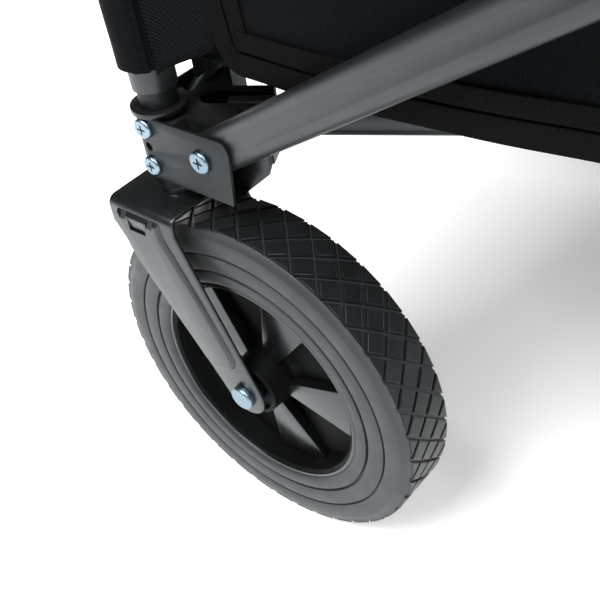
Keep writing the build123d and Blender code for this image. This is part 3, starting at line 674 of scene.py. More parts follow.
@dataclass
class Wheels:
    """Four tyres with diamond tread and four moulded rims with wedge spokes."""

    layout: Layout
    dresser: Dresser
    radius: float = 101.5 * MM
    half_width: float = 18.0 * MM
    shoulder_radius: float = 96.3 * MM
    bore: float = 66.0 * MM
    rim_edge: float = 67.6 * MM
    mould_lines: tuple[tuple[float, float, float], ...] = (
        (75.0 * MM, 0.90 * MM, 1.9 * MM), (85.7 * MM, 0.60 * MM, 1.5 * MM))
    tread_half: float = 15.9 * MM
    block_count: int = 38
    groove: float = 1.5 * MM
    block_height: float = 1.35 * MM
    spokes: int = 5
    hub_radius: float = 16.5 * MM
    hub_half: float = 22.0 * MM
    spoke_turn: float = 3.5
    spoke_narrow: float = 4.5 * MM
    spoke_wide: float = 18.5 * MM
    spoke_high: float = 10.5 * MM
    spoke_low: float = 6.5 * MM

    def build(self) -> None:
        """Makes one wheel at the first corner, and copies of it at the others."""
        self.centre = self.layout.wheels["fl"]
        wall, tread, rim, spokes = (self.make_wall(), self.make_tread(), self.make_rim(),
                                    self.make_spokes())
        for key in CORNERS:
            shift = Matrix.Translation(self.layout.wheels[key] - self.centre)
            for made, finish, slot, nodes in (
                (wall, "wall", Slot.TYRE, [f"tyre_{key}"]),
                (tread, "tread", Slot.TYRE, []),
                (rim, "web", Slot.RIM, [f"rim_{key}"]),
                (spokes, "rim", Slot.RIM, []),
            ):
                piece = copy_of(made, f"{made.name}_{key}", shift)
                self.dresser.dress(piece, finish, slot, f"wheel_{key}", nodes)
        for made in (wall, tread, rim, spokes):
            bpy.data.objects.remove(made)

    def make_wall(self) -> Piece:
        """The tyre's carcass with flat sidewalls and thin mould lines.

        Returns:
            The turned carcass with UVs of (arc, radius).
        """
        half, swollen = self.half_width, self.half_width + 0.4 * MM
        side: list[tuple[float, float]] = [(self.bore, half - 2.5 * MM),
                                           (self.bore + 0.6 * MM, half - 1.2 * MM),
                                           (self.rim_edge, half - 0.3 * MM),
                                           (self.rim_edge + 1.6 * MM, half + 0.3 * MM)]
        for place, line, deep in self.mould_lines:
            groove = [(-2.2, 0.0), (-1.0, 0.3 * MM), (-0.4, deep), (0.4, deep), (1.0, 0.3 * MM),
                      (2.2, 0.0)]
            side += [(place + way * line, swollen - sunk) for way, sunk in groove]
        base = self.radius - self.block_height
        side += [(self.shoulder_radius - 1.2 * MM, half), (self.shoulder_radius, half - 0.5 * MM),
                 (self.shoulder_radius + 1.3 * MM, half - 1.4 * MM),
                 (base - 0.3 * MM, self.tread_half + 0.1 * MM), (base, self.tread_half - 0.4 * MM)]
        wall = lathe("tyre_wall", both_sides(side), self.centre, 128)
        uv = wall.data.uv_layers.new(name="turned").data
        for loop in wall.data.loops:
            p = wall.data.vertices[loop.vertex_index].co - self.centre
            r = math.hypot(p.x, p.z)
            uv[loop.index].uv = (math.atan2(p.z, p.x) * r, r)
        smooth(wall, 30)
        return wall

    def make_tread(self) -> Piece:
        """Diamond blocks in staggered rows, the outer rows cut at the shoulder.

        Returns:
            All blocks of one tyre as one piece.
        """
        half = math.pi * self.radius / self.block_count
        reach = half - self.groove / math.sqrt(2)
        top = self.centre + UP * (self.radius - self.block_height - 0.4 * MM)
        blocks = []
        for row in range(-2, 3):
            shift = half if row % 2 else 0.0
            corners = [(-reach, 0), (0, -reach), (reach, 0), (0, reach)]
            shape = self.cut_block([(x + shift, y + row * half) for x, y in corners])
            if len(shape) < 3:
                continue
            block = outline(f"block_{row}", [top + Vector((x, y, 0)) for x, y in shape])
            self.raise_block(block)
            blocks.append(block)
        tread = join("tyre_tread", blocks)
        for vertex in tread.data.vertices:
            p = vertex.co - self.centre
            angle = p.x / self.radius
            vertex.co = self.centre + Vector((p.z * math.sin(angle), p.y, p.z * math.cos(angle)))
        with editing(tread):
            bpy.ops.mesh.spin(steps=self.block_count, angle=2 * math.pi, dupli=True,
                              center=self.centre, axis=AXES["y"])
            bpy.ops.mesh.select_all(action="SELECT")
            bpy.ops.mesh.remove_doubles(threshold=MERGE)
        smooth(tread, 20)
        return tread

    def cut_block(self, shape: list[tuple[float, float]]) -> list[tuple[float, float]]:
        """Clips a block's outline at the tread's two edges."""
        for side in (-1, 1):
            kept: list[tuple[float, float]] = []
            for (x0, y0), (x1, y1) in zip(shape, shape[1:] + shape[:1]):
                in0, in1 = side * y0 <= self.tread_half, side * y1 <= self.tread_half
                if in0:
                    kept.append((x0, y0))
                if in0 != in1:
                    t = (side * self.tread_half - y0) / (y1 - y0)
                    kept.append((x0 + t * (x1 - x0), side * self.tread_half))
            shape = kept
        return shape

    def raise_block(self, block: Piece) -> None:
        """Pulls a flat block up with sloped sides, a rolled edge and a faintly quartered top."""
        steps = ((self.block_height, 0.30 * MM), (0.38 * MM, 0.42 * MM))
        with editing(block, "FACE"):
            for lift, shrink in steps:
                bpy.ops.mesh.extrude_region_move(
                    TRANSFORM_OT_translate={"value": (0, 0, lift)})
                bpy.ops.mesh.inset(thickness=shrink, depth=0)
            bpy.ops.mesh.inset(thickness=0.3 * MM, depth=-0.12 * MM)
            bpy.ops.mesh.poke(offset=0.16 * MM)
            face_outwards()

    def make_rim(self) -> Piece:
        """Barrel, dished web and hub, the same on both sides."""
        half = self.half_width - 2.0 * MM
        lip, inner = self.bore + 0.2 * MM, self.bore - 3.6 * MM
        side = [(lip, half), (inner + 1.2 * MM, half + 0.3 * MM), (inner, half - 0.8 * MM),
                (inner - 1.5 * MM, 2.5 * MM), (self.hub_radius + 6 * MM, 2.0 * MM),
                (self.hub_radius + 1.5 * MM, 5.0 * MM), (self.hub_radius, self.hub_half - 5 * MM),
                (self.hub_radius, self.hub_half - 0.8 * MM),
                (self.hub_radius - 0.8 * MM, self.hub_half),
                (self.hub_radius - 2.6 * MM, self.hub_half),
                (self.hub_radius - 3.0 * MM, self.hub_half - 3 * MM),
                (8.2 * MM, self.hub_half - 3 * MM), (8.0 * MM, self.hub_half - 1 * MM),
                (4.3 * MM, self.hub_half - 1 * MM)]
        barrel = lathe("wheel_rim", both_sides(side), self.centre, 96)
        smooth(barrel, 35)
        return barrel

    def make_spokes(self) -> Piece:
        """The wedge spokes and the bright lip of the barrel on both sides, as one piece."""
        parts = []
        for side in (-1, 1):
            spoke = self.make_spoke(side)
            for k in range(self.spokes):
                angle = 2 * math.pi * k / self.spokes + math.radians(self.spoke_turn)
                turn = (Matrix.Translation(self.centre) @ Matrix.Rotation(angle, 4, "Y")
                        @ Matrix.Translation(-self.centre))
                parts.append(copy_of(spoke, f"spoke_{side}_{k}", turn))
            bpy.data.objects.remove(spoke)
            outer, high = self.bore + 0.5 * MM, self.half_width - 1.4 * MM
            bead = [(outer, high - 0.6 * MM), (outer, high), (outer - 0.7 * MM, high + 0.5 * MM),
                    (outer - 1.9 * MM, high + 0.3 * MM), (outer - 2.3 * MM, high - 0.8 * MM)]
            lip = lathe("lip", [(r, side * y) for r, y in bead], self.centre, 128)
            smooth(lip, 50)
            parts.append(lip)
        return join("wheel_spokes", parts)

    def make_spoke(self, side: int) -> Piece:
        """A wedge with a flat face: narrow and high at the hub, wide and lower at the barrel."""
        r0, r1 = self.hub_radius - 0.6 * MM, self.bore - 5.5 * MM
        narrow, wide = self.spoke_narrow, self.spoke_wide
        high, low = self.spoke_high, self.spoke_low
        corners = [(r0, -narrow, high), (r1, -wide, low), (r1 + 3.0 * MM, 0, low - 0.2 * MM),
                   (r1, wide, low), (r0, narrow, high)]
        spoke = outline("spoke", [self.centre + Vector((x, side * y, z)) for x, z, y in corners])
        make_solid(spoke, Vector((0, -side * self.spoke_low, 0)))
        round_edges(spoke, 0.6 * MM, 3)
        return spoke


# ---- forks ------------------------------------------------------------------------------


@dataclass
class Forks:
    """Pressed-steel forks with a ribbed leg each side, their bearings, stems and axles."""

    layout: Layout
    dresser: Dresser
    half: float = 27.5 * MM
    sheet: float = 2.5 * MM
    top: float = 208.5 * MM
    front: float = -27.0 * MM
    front_drop: float = 14.0 * MM
    rear: float = 19.5 * MM
    rear_drop: float = 11.0 * MM
    trail: float = 46.0 * MM
    axle_z: float = 101.5 * MM
    end_radius: float = 13.0 * MM
    crown: float = 5.0 * MM
    emboss: float = 2.1 * MM
    # x and z of the embossed panel's corners about the post axis, and its face's shift there
    panel: tuple[tuple[float, float, float, float], ...] = (
        (-20.5, 204.5, 0.9, -2.4), (-19.5, 194.5, 0.9, 0.0), (-16.5, 182.0, 0.9, 0.2),
        (-11.2, 171.0, 0.9, 0.4), (23.0, 119.5, 0.8, 0.8), (27.0, 116.6, 0.6, 1.6),
        (32.5, 115.8, 0.0, 2.0), (38.5, 116.8, -0.8, 1.9), (43.0, 120.0, -1.6, 1.3),
        (44.6, 125.0, -2.1, 0.5), (43.2, 130.5, -2.3, -0.2), (29.5, 161.0, -2.4, -0.4),
        (12.0, 194.0, -2.4, -0.4), (10.5, 204.5, -2.0, -2.4))
    # radius and height over the crown of the bearing cup's corners, in millimetres
    cup: tuple[tuple[float, float], ...] = (
        (6.2, 0.0), (8.9, 0.0), (9.5, 0.6), (9.5, 2.2), (8.7, 2.7), (8.7, 3.1), (9.3, 3.6),
        (9.3, 5.2), (8.6, 6.0), (6.2, 6.0))
    # sides, radius, length, middle over the crown and bevel of the stem's head and the stem
    stem: tuple[tuple[int, float, float, float, float], ...] = (
        (6, 9.0, 5.0, -5.0, 0.6), (32, 6.0, 50.0, 20.0, 0.8))

    def build(self) -> None:
        """Makes the fork pieces at the first corner and copies them to the others."""
        fork = self.make_fork()
        bearing = self.make_bearing()
        for key, (sx, sy) in CORNERS.items():
            mirror = Matrix.Diagonal((1, -sy, 1, 1))
            place = Matrix.Translation(self.layout.posts[key]) @ mirror
            body = self.dresser.body_of[f"fork_{key}"]
            piece = copy_of(fork, f"fork_pressing_{key}", place)
            self.dresser.dress(piece, "press", Slot.METAL, body, [f"fork_{key}"])
            self.dresser.dress(copy_of(bearing, f"swivel_bearing_{key}", place), "steel",
                               Slot.ZINC, body)
            self.dresser.refine(f"axle_{key}", "zinc", Slot.ZINC, 0.5 * MM)
        for made in (fork, bearing):
            bpy.data.objects.remove(made)

    def leg_points(self) -> list[Vector]:
        """The leg's outline in XZ about the post axis: straight sides down to a round end."""
        r, steps = self.end_radius, 14
        low_front = Vector((self.front, 0, self.top - self.front_drop))
        low_rear = Vector((self.rear, 0, self.top - self.rear_drop))
        axle = Vector((self.trail, 0, self.axle_z))

        def touch(p: Vector, side: int) -> float:
            d = p - axle
            return math.atan2(d.z, d.x) + side * math.acos(r / d.length)

        start, end = touch(low_front, 1), touch(low_rear, -1)
        end += 2 * math.pi if end < start else 0
        arc = [axle + Vector((math.cos(a), 0, math.sin(a))) * r
               for a in (start + (end - start) * k / steps for k in range(steps + 1))]
        top = self.top - self.crown
        return [Vector((self.front, 0, top)), low_front, *arc, low_rear,
                Vector((self.rear, 0, top))]

    def make_shell(self) -> Piece:
        """Both legs and the crown as one bent sheet, its shoulders rolled."""
        shell = outline("fork", [p + Vector((0, -self.half, 0)) for p in self.leg_points()])
        top, r, steps = self.top - self.crown, self.crown, 6
        turns = [math.pi / 2 * k / steps for k in range(steps + 1)]
        with picking(shell, lambda p: abs(p.z - top) < MERGE):
            for a, b in zip(turns, turns[1:]):
                step = (0, r * (math.cos(a) - math.cos(b)), r * (math.sin(b) - math.sin(a)))
                bpy.ops.mesh.extrude_region_move(TRANSFORM_OT_translate={"value": step})
            bpy.ops.mesh.extrude_region_move(
                TRANSFORM_OT_translate={"value": (0, self.half - r, 0)})
        apply_modifier(shell, "MIRROR", use_axis=(False, True, False), merge_threshold=MERGE)
        with editing(shell, "FACE"):
            face_outwards()
        crown_faces = [f for f in shell.data.polygons if abs(f.center.z - self.top) < 0.1 * MM]
        if crown_faces[0].normal.z < 0:
            shell.data.flip_normals()
        apply_modifier(shell, "SOLIDIFY", thickness=self.sheet, offset=-1.0)
        round_edges(shell, 1.05 * MM, 3, 40)
        return shell

    def make_panel(self) -> Piece:
        """The panel embossed on a leg: a thin side wall in front and a wide one behind."""
        sunk = 0.2 * MM
        foot = -self.half + sunk
        base = [Vector((x * MM, foot, z * MM)) for x, z, _, _ in self.panel]
        panel = outline("panel", base)
        make_solid(panel, Vector((0, -self.emboss - sunk, 0)))
        for vertex in panel.data.vertices:
            if vertex.co.y < foot - 0.1 * MM:
                flat = Vector((vertex.co.x, foot, vertex.co.z))
                near = min(range(len(base)), key=lambda k: (base[k] - flat).length)
                vertex.co += Vector((self.panel[near][2] * MM, 0, self.panel[near][3] * MM))
        round_edges(panel, 0.75 * MM, 3, 15)
        return panel

    def make_cutters(self) -> list[Piece]:
        """The lanced tab's shallow wedge, the slot below it and a pit each side of its top."""
        face = -self.half - self.emboss
        shapes = (
            (-11.5, 12.0, ((-0.2, 203.5), (-2.0, 203.5), (-2.0, 195.0), (1.2, 195.0))),
            (-11.5, 12.0, ((3.0, 195.2), (-2.0, 195.2), (-2.0, 194.1), (3.0, 194.5))),
            (-17.8, 4.8, ((-0.2, 199.5), (-2.0, 199.5), (-2.0, 205.0), (2.4, 205.0))),
            (2.0, 4.6, ((-0.2, 199.5), (-2.0, 199.5), (-2.0, 205.0), (2.4, 205.0))),
        )
        cutters = []
        for start, length, section in shapes:
            points = [Vector((start * MM, face + y * MM, z * MM)) for y, z in section]
            cutters.append(outline("cutter", points))
            make_solid(cutters[-1], Vector((length * MM, 0, 0)))
        return cutters

    def make_fork(self) -> Piece:
        """The whole pressing: the bent shell with an embossed panel and tab on each leg."""
        shell, near = self.make_shell(), self.make_panel()
        flip = Matrix.Diagonal((1, -1, 1, 1))
        for cutter in self.make_cutters():
            cut_away(near, cutter)
            cut_away(shell, cutter)
            twin = copy_of(cutter, "cutter_far", flip)
            cut_away(shell, twin)
            bpy.data.objects.remove(twin)
            bpy.data.objects.remove(cutter)
        smooth(near, 16)
        smooth(shell, 35)
        return join("fork", [shell, near, copy_of(near, "panel_far", flip)])

    def make_bearing(self) -> Piece:
        """Dished bearing cup between the fork and the connector, with the stem and its head."""
        points = [Vector((r * MM, 0, self.top + z * MM)) for r, z in self.cup]
        parts = [turn_round("bearing", points, Vector(), UP, 48)]
        smooth(parts[0], 40)
        for sides, radius, tall, middle, bevel in self.stem:
            bpy.ops.mesh.primitive_cylinder_add(vertices=sides, radius=radius * MM, depth=tall * MM,
                                                location=(0, 0, self.top + middle * MM))
            parts.append(bpy.context.active_object)
            settle(parts[-1])
            round_edges(parts[-1], bevel * MM, 2)
        return join("bearing", parts)


# ---- frame ------------------------------------------------------------------------------


@dataclass
class Frame:
    """Posts, brackets, connectors, scissor tubes, floor arms and hub: rounded CAD pieces."""

    dresser: Dresser
    # node, finish, slot and edge rounding of what each corner has
    corner_pieces: tuple[tuple[str, str, Slot, float], ...] = (
        ("lower_post", "plate", Slot.METAL, 0.4 * MM),
        ("bracket", "plate", Slot.METAL, 0.6 * MM),
        ("bracket_screws", "zinc", Slot.ZINC, 0.25 * MM),
        ("lower_connector", "plastic", Slot.PLASTIC, 0.6 * MM),
        ("upper_corner", "metal", Slot.METAL, 0.5 * MM),
        ("floor_arm", "metal", Slot.METAL, 0.4 * MM))

    def build(self) -> None:
        """Rounds each piece and gives it its finish."""
        d = self.dresser
        for key in CORNERS:
            for node, finish, slot, width in self.corner_pieces:
                d.refine(f"{node}_{key}", finish, slot, width)
        tubes = [f"side_tube_{side}_{tube}" for side in ("left", "right") for tube in "abcd"]
        tubes += [f"{end}_tube_{tube}" for end in ("front", "rear") for tube in ("outer", "inner")]
        for node in tubes:
            d.refine(node, "metal", Slot.METAL, 0.4 * MM)
        d.refine("floor_hub", "plastic", Slot.PLASTIC, 1.0 * MM)


@dataclass
class PullHandle:
    """Bracket, telescoping tubes and the looped grip."""

    dresser: Dresser

    def build(self) -> None:
        """Rounds the handle's pieces and gives them their finishes."""
        d = self.dresser
        d.refine("handle_bracket", "press", Slot.METAL, 0.8 * MM)
        d.refine("handle_tube", "metal", Slot.METAL, 0.4 * MM)
        d.refine("handle_slider", "metal", Slot.METAL, 0.4 * MM)
        d.refine("handle_grip", "grip", Slot.GRIP, 4.0 * MM, 40)


# ---- fabric -----------------------------------------------------------------------------


@dataclass
class Tub:
    """Canvas walls with bound edges, netting ends and corners, post sleeves and a floor."""

    layout: Layout
    dresser: Dresser
    thick: float = 0.9 * MM
    # depth of each soft fold, and its turns in radians per metre along and up the wall
    folds: tuple[tuple[float, float, float], ...] = (
        (1.3 * MM, 21.7, 34.1), (0.9 * MM, 31.0, -17.0), (0.5 * MM, 73.0, 41.0))
    phases: dict[str, float] = field(default_factory=lambda: {"left": 0.4, "right": 1.9})
    fold_share: dict[str, float] = field(default_factory=lambda: {"x": 0.28, "y": 0.325})
    wall_start: float = 40.0 * MM
    wall_inset: float = 15.0 * MM
    wall_low: float = 281.0 * MM
    corner_cut: tuple[float, float] = (16.0 * MM, 33.0 * MM)
    taut_reach: float = 60.0 * MM
    belly_out: float = 9.5 * MM
    belly_heights: tuple[float, float] = (300.0 * MM, 400.0 * MM)
    belly_fade: tuple[float, float] = (90.0 * MM, 260.0 * MM)
    tube_clear: float = 38.0 * MM
    tape_out: float = 1.1 * MM
    # inset, lift over the tape, width and thickness of what is sewn along a wall's edges
    edge_tapes: dict[str, tuple[float, float, float, float]] = field(default_factory=lambda: {
        "binding": (5.5 * MM, 0.0, 11.0 * MM, 1.8 * MM),
        "facing": (17.0 * MM, 0.44 * MM, 9.0 * MM, 1.2 * MM)})
    end_tape: tuple[float, float] = (10.0 * MM, 1.6 * MM)
    hem: tuple[float, float] = (26.0 * MM, 3.2 * MM)
    hem_drop: float = 12.0 * MM
    net_start: float = 13.0 * MM
    net_low: float = 266.5 * MM
    gusset_start: float = 12.0 * MM
    gusset_width: float = 30.0 * MM
    gusset_foot: tuple[float, float] = (276.0 * MM, 13.0 * MM)
    # y of the netting at the sleeve, and how much further in it is at the wall
    gusset_high: tuple[float, float] = (12.5 * MM, 3.5 * MM)
    gusset_low: tuple[float, float] = (-7.0 * MM, 13.5 * MM)
    gusset_bend: tuple[float, float] = (330.0 * MM, 420.0 * MM)
    gusset_flat: float = 35.0 * MM
    gusset_share: float = 0.45
    sleeve_low: float = 278.0 * MM
    sleeve_drop: float = 40.0 * MM
    sleeve_outer: float = 14.3 * MM
    sleeve_inner: float = 12.5 * MM
    sleeve_thick: float = 1.3 * MM
    sleeve_turn: float = 395.0
    lap_turn: tuple[float, float] = (150.0, 300.0)
    flap_edge: float = -41.0
    seam_inset: float = 11.0
    stitch_count: int = 40
    stitch_pitch: float = 4.6 * MM
    stitch_length: float = 3.2 * MM
    stitch_radius: float = 0.35 * MM
    floor_start: float = 17.0 * MM
    floor_rise: float = 15.0 * MM
    floor_slope: float = 70.0 * MM
    floor_share: float = 0.16
    tuck_reach: float = 30.0 * MM
    tuck_rise: float = 3.5 * MM
    tuck_gap: float = 0.8 * MM

    def build(self) -> None:
        """Makes every cloth piece of the tub."""
        posts = self.layout.posts
        self.top = self.layout.tub_top
        self.length = abs(posts["rl"].x - posts["fl"].x) - 2 * self.wall_start
        for side, key in (("left", "fl"), ("right", "fr")):
            self.make_side(side, key)
        for end, key in (("front", "fl"), ("rear", "rl")):
            self.make_end(end, key)
        for key in CORNERS:
            net = self.sew(f"corner_netting_{key}", (14, 44), self.gusset_point, key)
            self.hang(net, "netting", f"upper_{key}", posts[key], self.gusset_share)
        self.make_sleeves()
        for key in CORNERS:
            self.make_floor(key)
        self.make_strap()

    def sew(self, name: str, divisions: tuple[int, int],
            surface: Callable[[float, float], Vector], key: str) -> Piece:
        """Cloth laid over a surface that is given in corner axes.

        Args:
            name: the piece's name.
            divisions: its grid's divisions along u and v.
            surface: point of the cloth at (u, v), each from 0 to 1.
            key: the corner from which the surface is measured.

        Returns:
            The cloth in its place, with its thickness.
        """
        sheet = grid_sheet(f"{name}_row", *divisions, surface)
        apply_modifier(sheet, "SOLIDIFY", thickness=self.thick, offset=0.0)
        piece = copy_of(sheet, name, self.layout.corner(key))
        bpy.data.objects.remove(sheet)
        return piece

    def hang(self, obj: Piece, finish: str, body: str,
             anchor: Vector, keep: float) -> None:
        """Args:
            obj: the piece.
            finish: a field name of Finishes.
            body: the body that it hangs on.
            anchor: the point towards which it would crumple; not used.
            keep: its share of that length when folded; not used.
        """
        self.dresser.dress(obj, finish, Slot.CLOTH, body)
        tuple(anchor)
        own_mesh(obj)

    def bind(self, name: str, path: Sequence[Vector], across: Sequence[Vector],
             size: Sequence[float], key: str, axis: str) -> None:
        """Sews a tape or hem to a wall.

        Args:
            name: the piece's name.
            path: the points that its middle follows, in corner axes.
            across: at each point, the direction of its width.
            size: its width and thickness in metres.
            key: the corner that it hangs on.
            axis: a key of AXES; it picks a share from fold_share, which hang does not use.
        """
        tape = ribbon(f"{name}_row", path, across, *size)
        self.hang(copy_of(tape, name, self.layout.corner(key)), "tape", f"upper_{key}",
                  self.layout.posts[key], self.fold_share[axis])
        bpy.data.objects.remove(tape)

    def creases(self, x: float, z: float, phase: float) -> float:
        """Soft folds of the hanging canvas, in metres, at a place along and up the wall."""
        return sum(deep * math.sin(x * along + z * up + phase * k)
                   for k, (deep, along, up) in enumerate(self.folds, 1))

    def belly(self, x: float, z: float, side: str) -> float:
        """How far a long wall's foot stands outward; none where a scissor tube lies inside."""
        beside_tube = x if side == "right" else self.length - x
        free = self.length - beside_tube
        ends = (1 - smooth_step(free, *self.belly_fade)
                + 1 - smooth_step(beside_tube, 0, self.tube_clear))
        return self.belly_out * (1 - smooth_step(z, *self.belly_heights)) * ends

    def wall_point(self, u: float, v: float, side: str) -> Vector:
        """A point of a long wall in corner axes, from its front bound edge to the far one."""
        cut_x, cut_z = self.corner_cut
        x = u * self.length
        near = min(x, self.length - x)
        low = self.wall_low
        if near < cut_x:
            low += cut_z * (1 - math.sqrt(max(0.0, 1 - ((cut_x - near) / cut_x) ** 2)))
        z = low + (self.top - low) * v
        slack = 0.7 + 0.3 * smooth_step(near, 0.0, self.taut_reach)
        y = self.wall_inset - self.belly(x, z, side) + self.creases(x, z, self.phases[side]) * slack
        return Vector((self.wall_start + x, y, z))

    def make_side(self, side: str, key: str) -> None:
        """A long canvas wall, tape round its bottom and ends, and a hem at its top."""
        wall = self.sew(f"side_canvas_{side}", (150, 44),
                        lambda u, v: self.wall_point(u, v, side), key)
        self.hang(wall, "canvas", f"upper_{key}", self.layout.posts[key],
                  self.fold_share["x"])
        if side == "left":
            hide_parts("fabric_tub")
        out = Vector((0, -self.tape_out, 0))
        rises = [k / 16 for k in range(1, 17)]
        path = ([self.wall_point(0.0, v, side) + out for v in reversed(rises)]
                + [self.wall_point(k / 220, 0.0, side) + out for k in range(221)]
                + [self.wall_point(1.0, v, side) + out for v in rises])
        across = self.path_sides(path)
        for name, (inset, lift, *size) in self.edge_tapes.items():
            middle = [p + s * inset - AXES["y"] * lift for p, s in zip(path, across)]
            self.bind(f"side_{name}_{side}", middle, across, size, key, "x")
        top = [self.wall_point(k / 120, 1.0, side) - UP * self.hem_drop for k in range(121)]
        self.bind(f"side_hem_{side}", top, [UP] * len(top), self.hem, key, "x")

    @staticmethod
    def path_sides(path: Sequence[Vector]) -> list[Vector]:
        """At each point of a path in XZ, the unit direction to its left, inside the wall."""
        sides = []
        for k in range(len(path)):
            a, b = path[max(k - 1, 0)], path[min(k + 1, len(path) - 1)]
            d = (b - a).normalized()
            sides.append(Vector((-d.z, 0, d.x)).normalized())
        return sides

    def make_end(self, end: str, key: str) -> None:
        """A netting end wall with its hem and its bound foot."""
        posts = self.layout.posts
        span = abs(posts["fr"].y - posts["fl"].y) - 2 * self.net_start

        def surface(u: float, v: float) -> Vector:
            y = self.net_start + u * span
            z = self.net_low + (self.top - self.net_low) * v
            return Vector((self.wall_inset + self.creases(y, z, 3.0) * 0.8, y, z))

        net = self.sew(f"end_netting_{end}", (80, 44), surface, key)
        self.hang(net, "netting", f"upper_{key}", posts[key], self.fold_share["y"])
        places = [k / 60 for k in range(61)]
        top = [surface(u, 1.0) - UP * self.hem_drop for u in places]
        self.bind(f"end_hem_{end}", top, [UP] * len(top), self.hem, key, "y")
        foot = [surface(u, 0.0) + Vector((-0.8 * MM, 0, 5 * MM)) for u in places]
        self.bind(f"end_binding_{end}", foot, [UP] * len(foot), self.end_tape, key, "y")

    def gusset_point(self, u: float, v: float) -> Vector:
        """A point of the netting between a sleeve and a long wall, in corner axes."""
        foot, rise = self.gusset_foot
        low = foot + rise * u ** 0.7
        z = low + (self.top - low) * v
        x = self.gusset_start + u * self.gusset_width
        below = 1 - smooth_step(z, *self.gusset_bend)
        high_y, low_y = (y + u * wider for y, wider in (self.gusset_high, self.gusset_low))
        return Vector((x, high_y + (low_y - high_y) * below + self.creases(x, z, 5.0) * 0.3, z))

    def sleeve_point(self, u: float) -> tuple[float, float]:
        """The sleeve's section: out from the flap's edge, round the front, back under the flap."""
        turn = self.sleeve_turn * u
        outer, inner = self.sleeve_outer, self.sleeve_inner
        r = outer + (inner - outer) * smooth_step(turn, *self.lap_turn)
        angle = math.radians(self.flap_edge - turn)
        return r * math.cos(angle), r * math.sin(angle)

    @staticmethod
    def swell(z: float, slack: float, phase: float) -> float:
        """How much wider than its section the sleeve is at a height."""
        return 1 + 0.018 * math.sin(z * 95 + phase) + 0.03 * slack

    def make_sleeves(self) -> None:
        """A lapped canvas sleeve round each upper post, stitched beside its flap's edge."""
        tall = self.top - self.sleeve_drop - self.sleeve_low

        def surface(u: float, v: float) -> Vector:
            x, y = self.sleeve_point(u)
            z = self.sleeve_low + tall * v
            slack = 1 - smooth_step(v, 0.0, 0.5)
            sag = 1.3 * MM * math.sin(u * 9.0 + 0.7) * slack
            wide = self.swell(z, slack, u * 14)
            return Vector((x * wide, y * wide, z + sag * (1 - v)))

        sheet = grid_sheet("sleeve", 90, 60, surface)
        apply_modifier(sheet, "SOLIDIFY", thickness=self.sleeve_thick, offset=0.0)
        round_edges(sheet, 0.4 * MM, 2, 60)
        stitches = self.make_stitches(tall)
        for key in CORNERS:
            place = self.layout.corner(key)
            piece = copy_of(sheet, f"post_sleeve_{key}", place)
            self.dresser.dress(piece, "canvas", Slot.CLOTH, f"upper_{key}")
            seam = copy_of(stitches, f"sleeve_stitching_{key}", place)
            self.dresser.dress(seam, "thread", Slot.CLOTH, f"upper_{key}")
        bpy.data.objects.remove(sheet)
        bpy.data.objects.remove(stitches)

    def make_stitches(self, tall: float) -> Piece:
        """A row of short stitches up a sleeve of a given height, beside its flap's edge."""
        bpy.ops.object.select_all(action="DESELECT")
        bpy.ops.mesh.primitive_uv_sphere_add(segments=6, ring_count=4, radius=1.0)
        first = bpy.context.active_object
        thin = self.stitch_radius
        first.data.transform(Matrix.Diagonal((thin, thin, self.stitch_length / 2, 1)))
        turn = math.radians(self.flap_edge - self.seam_inset)
        row = []
        for k in range(self.stitch_count):
            up = 4 * MM + self.stitch_pitch * k
            z = self.sleeve_low + up
            slack = 1 - smooth_step(up / tall, 0.0, 0.5)
            reach = self.sleeve_outer * self.swell(z, slack, 0.5) + self.sleeve_thick / 2
            place = Vector((reach * math.cos(turn), reach * math.sin(turn), z))
            row.append(copy_of(first, f"stitch_{k}", Matrix.Translation(place)))
        bpy.data.objects.remove(first)
        stitches = join("stitches", row)
        activate(stitches)
        bpy.ops.object.shade_smooth()
        return stitches

    def make_floor(self, key: str) -> None:
        """A quarter of the canvas floor, carried by its floor arm and tucked to its wall."""
        posts, start = self.layout.posts, self.floor_start
        low = Vector(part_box("floor_hub")[1]).z + 1.0 * MM
        reach_x = abs(posts[key].x - (posts["fl"].x + posts["rl"].x) / 2) - start
        reach_y = abs(posts[key].y) - start
        side = "left" if key[1] == "l" else "right"

        def surface(u: float, v: float) -> Vector:
            x, y = start + u * reach_x, start + v * reach_y
            edge = min(u * reach_x, v * reach_y)
            z = low + self.floor_rise * (1 - smooth_step(edge, 0, self.floor_slope))
            z += abs(self.creases(x, y, 1.3)) * 0.8 * smooth_step(edge, 0, 40 * MM)
            way = min(1.0, max(0.0, (x - self.wall_start) / self.length))
            wall = self.wall_point(way if key[0] == "f" else 1 - way, 0.0, side)
            tuck = 1 - smooth_step(v * reach_y, 0, self.tuck_reach)
            return Vector((x, y + (wall.y + self.tuck_gap - start) * tuck, z + self.tuck_rise * tuck))

        piece = self.sew(f"floor_canvas_{key}", (60, 34), surface, key)
        arm_low, arm_high = map(Vector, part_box(f"floor_arm_{key}"))
        self.hang(piece, "canvas", f"arm_{key}", (arm_low + arm_high) / 2,
                  self.floor_share)

    def make_strap(self) -> None:
        """The lift strap: a loop of webbing standing on the floor's middle."""
        low, high = map(Vector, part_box("lift_strap"))
        middle = (low + high) / 2
        inset = 1.5 * MM
        half, tall = (high.y - low.y) / 2 - inset, high.z - low.z - 2 * inset
        turns = [math.pi * k / 40 for k in range(41)]
        path = [Vector((middle.x, middle.y - half * math.cos(a),
                        low.z + inset + tall * math.sin(a) ** 0.6)) for a in turns]
        strap = ribbon("lift_strap_loop", path, [AXES["x"]] * len(path), high.x - low.x, 2.2 * MM)
        self.dresser.dress(strap, "tape", Slot.WEBBING, "hub", ["lift_strap"])


# ---- room -------------------------------------------------------------------------------


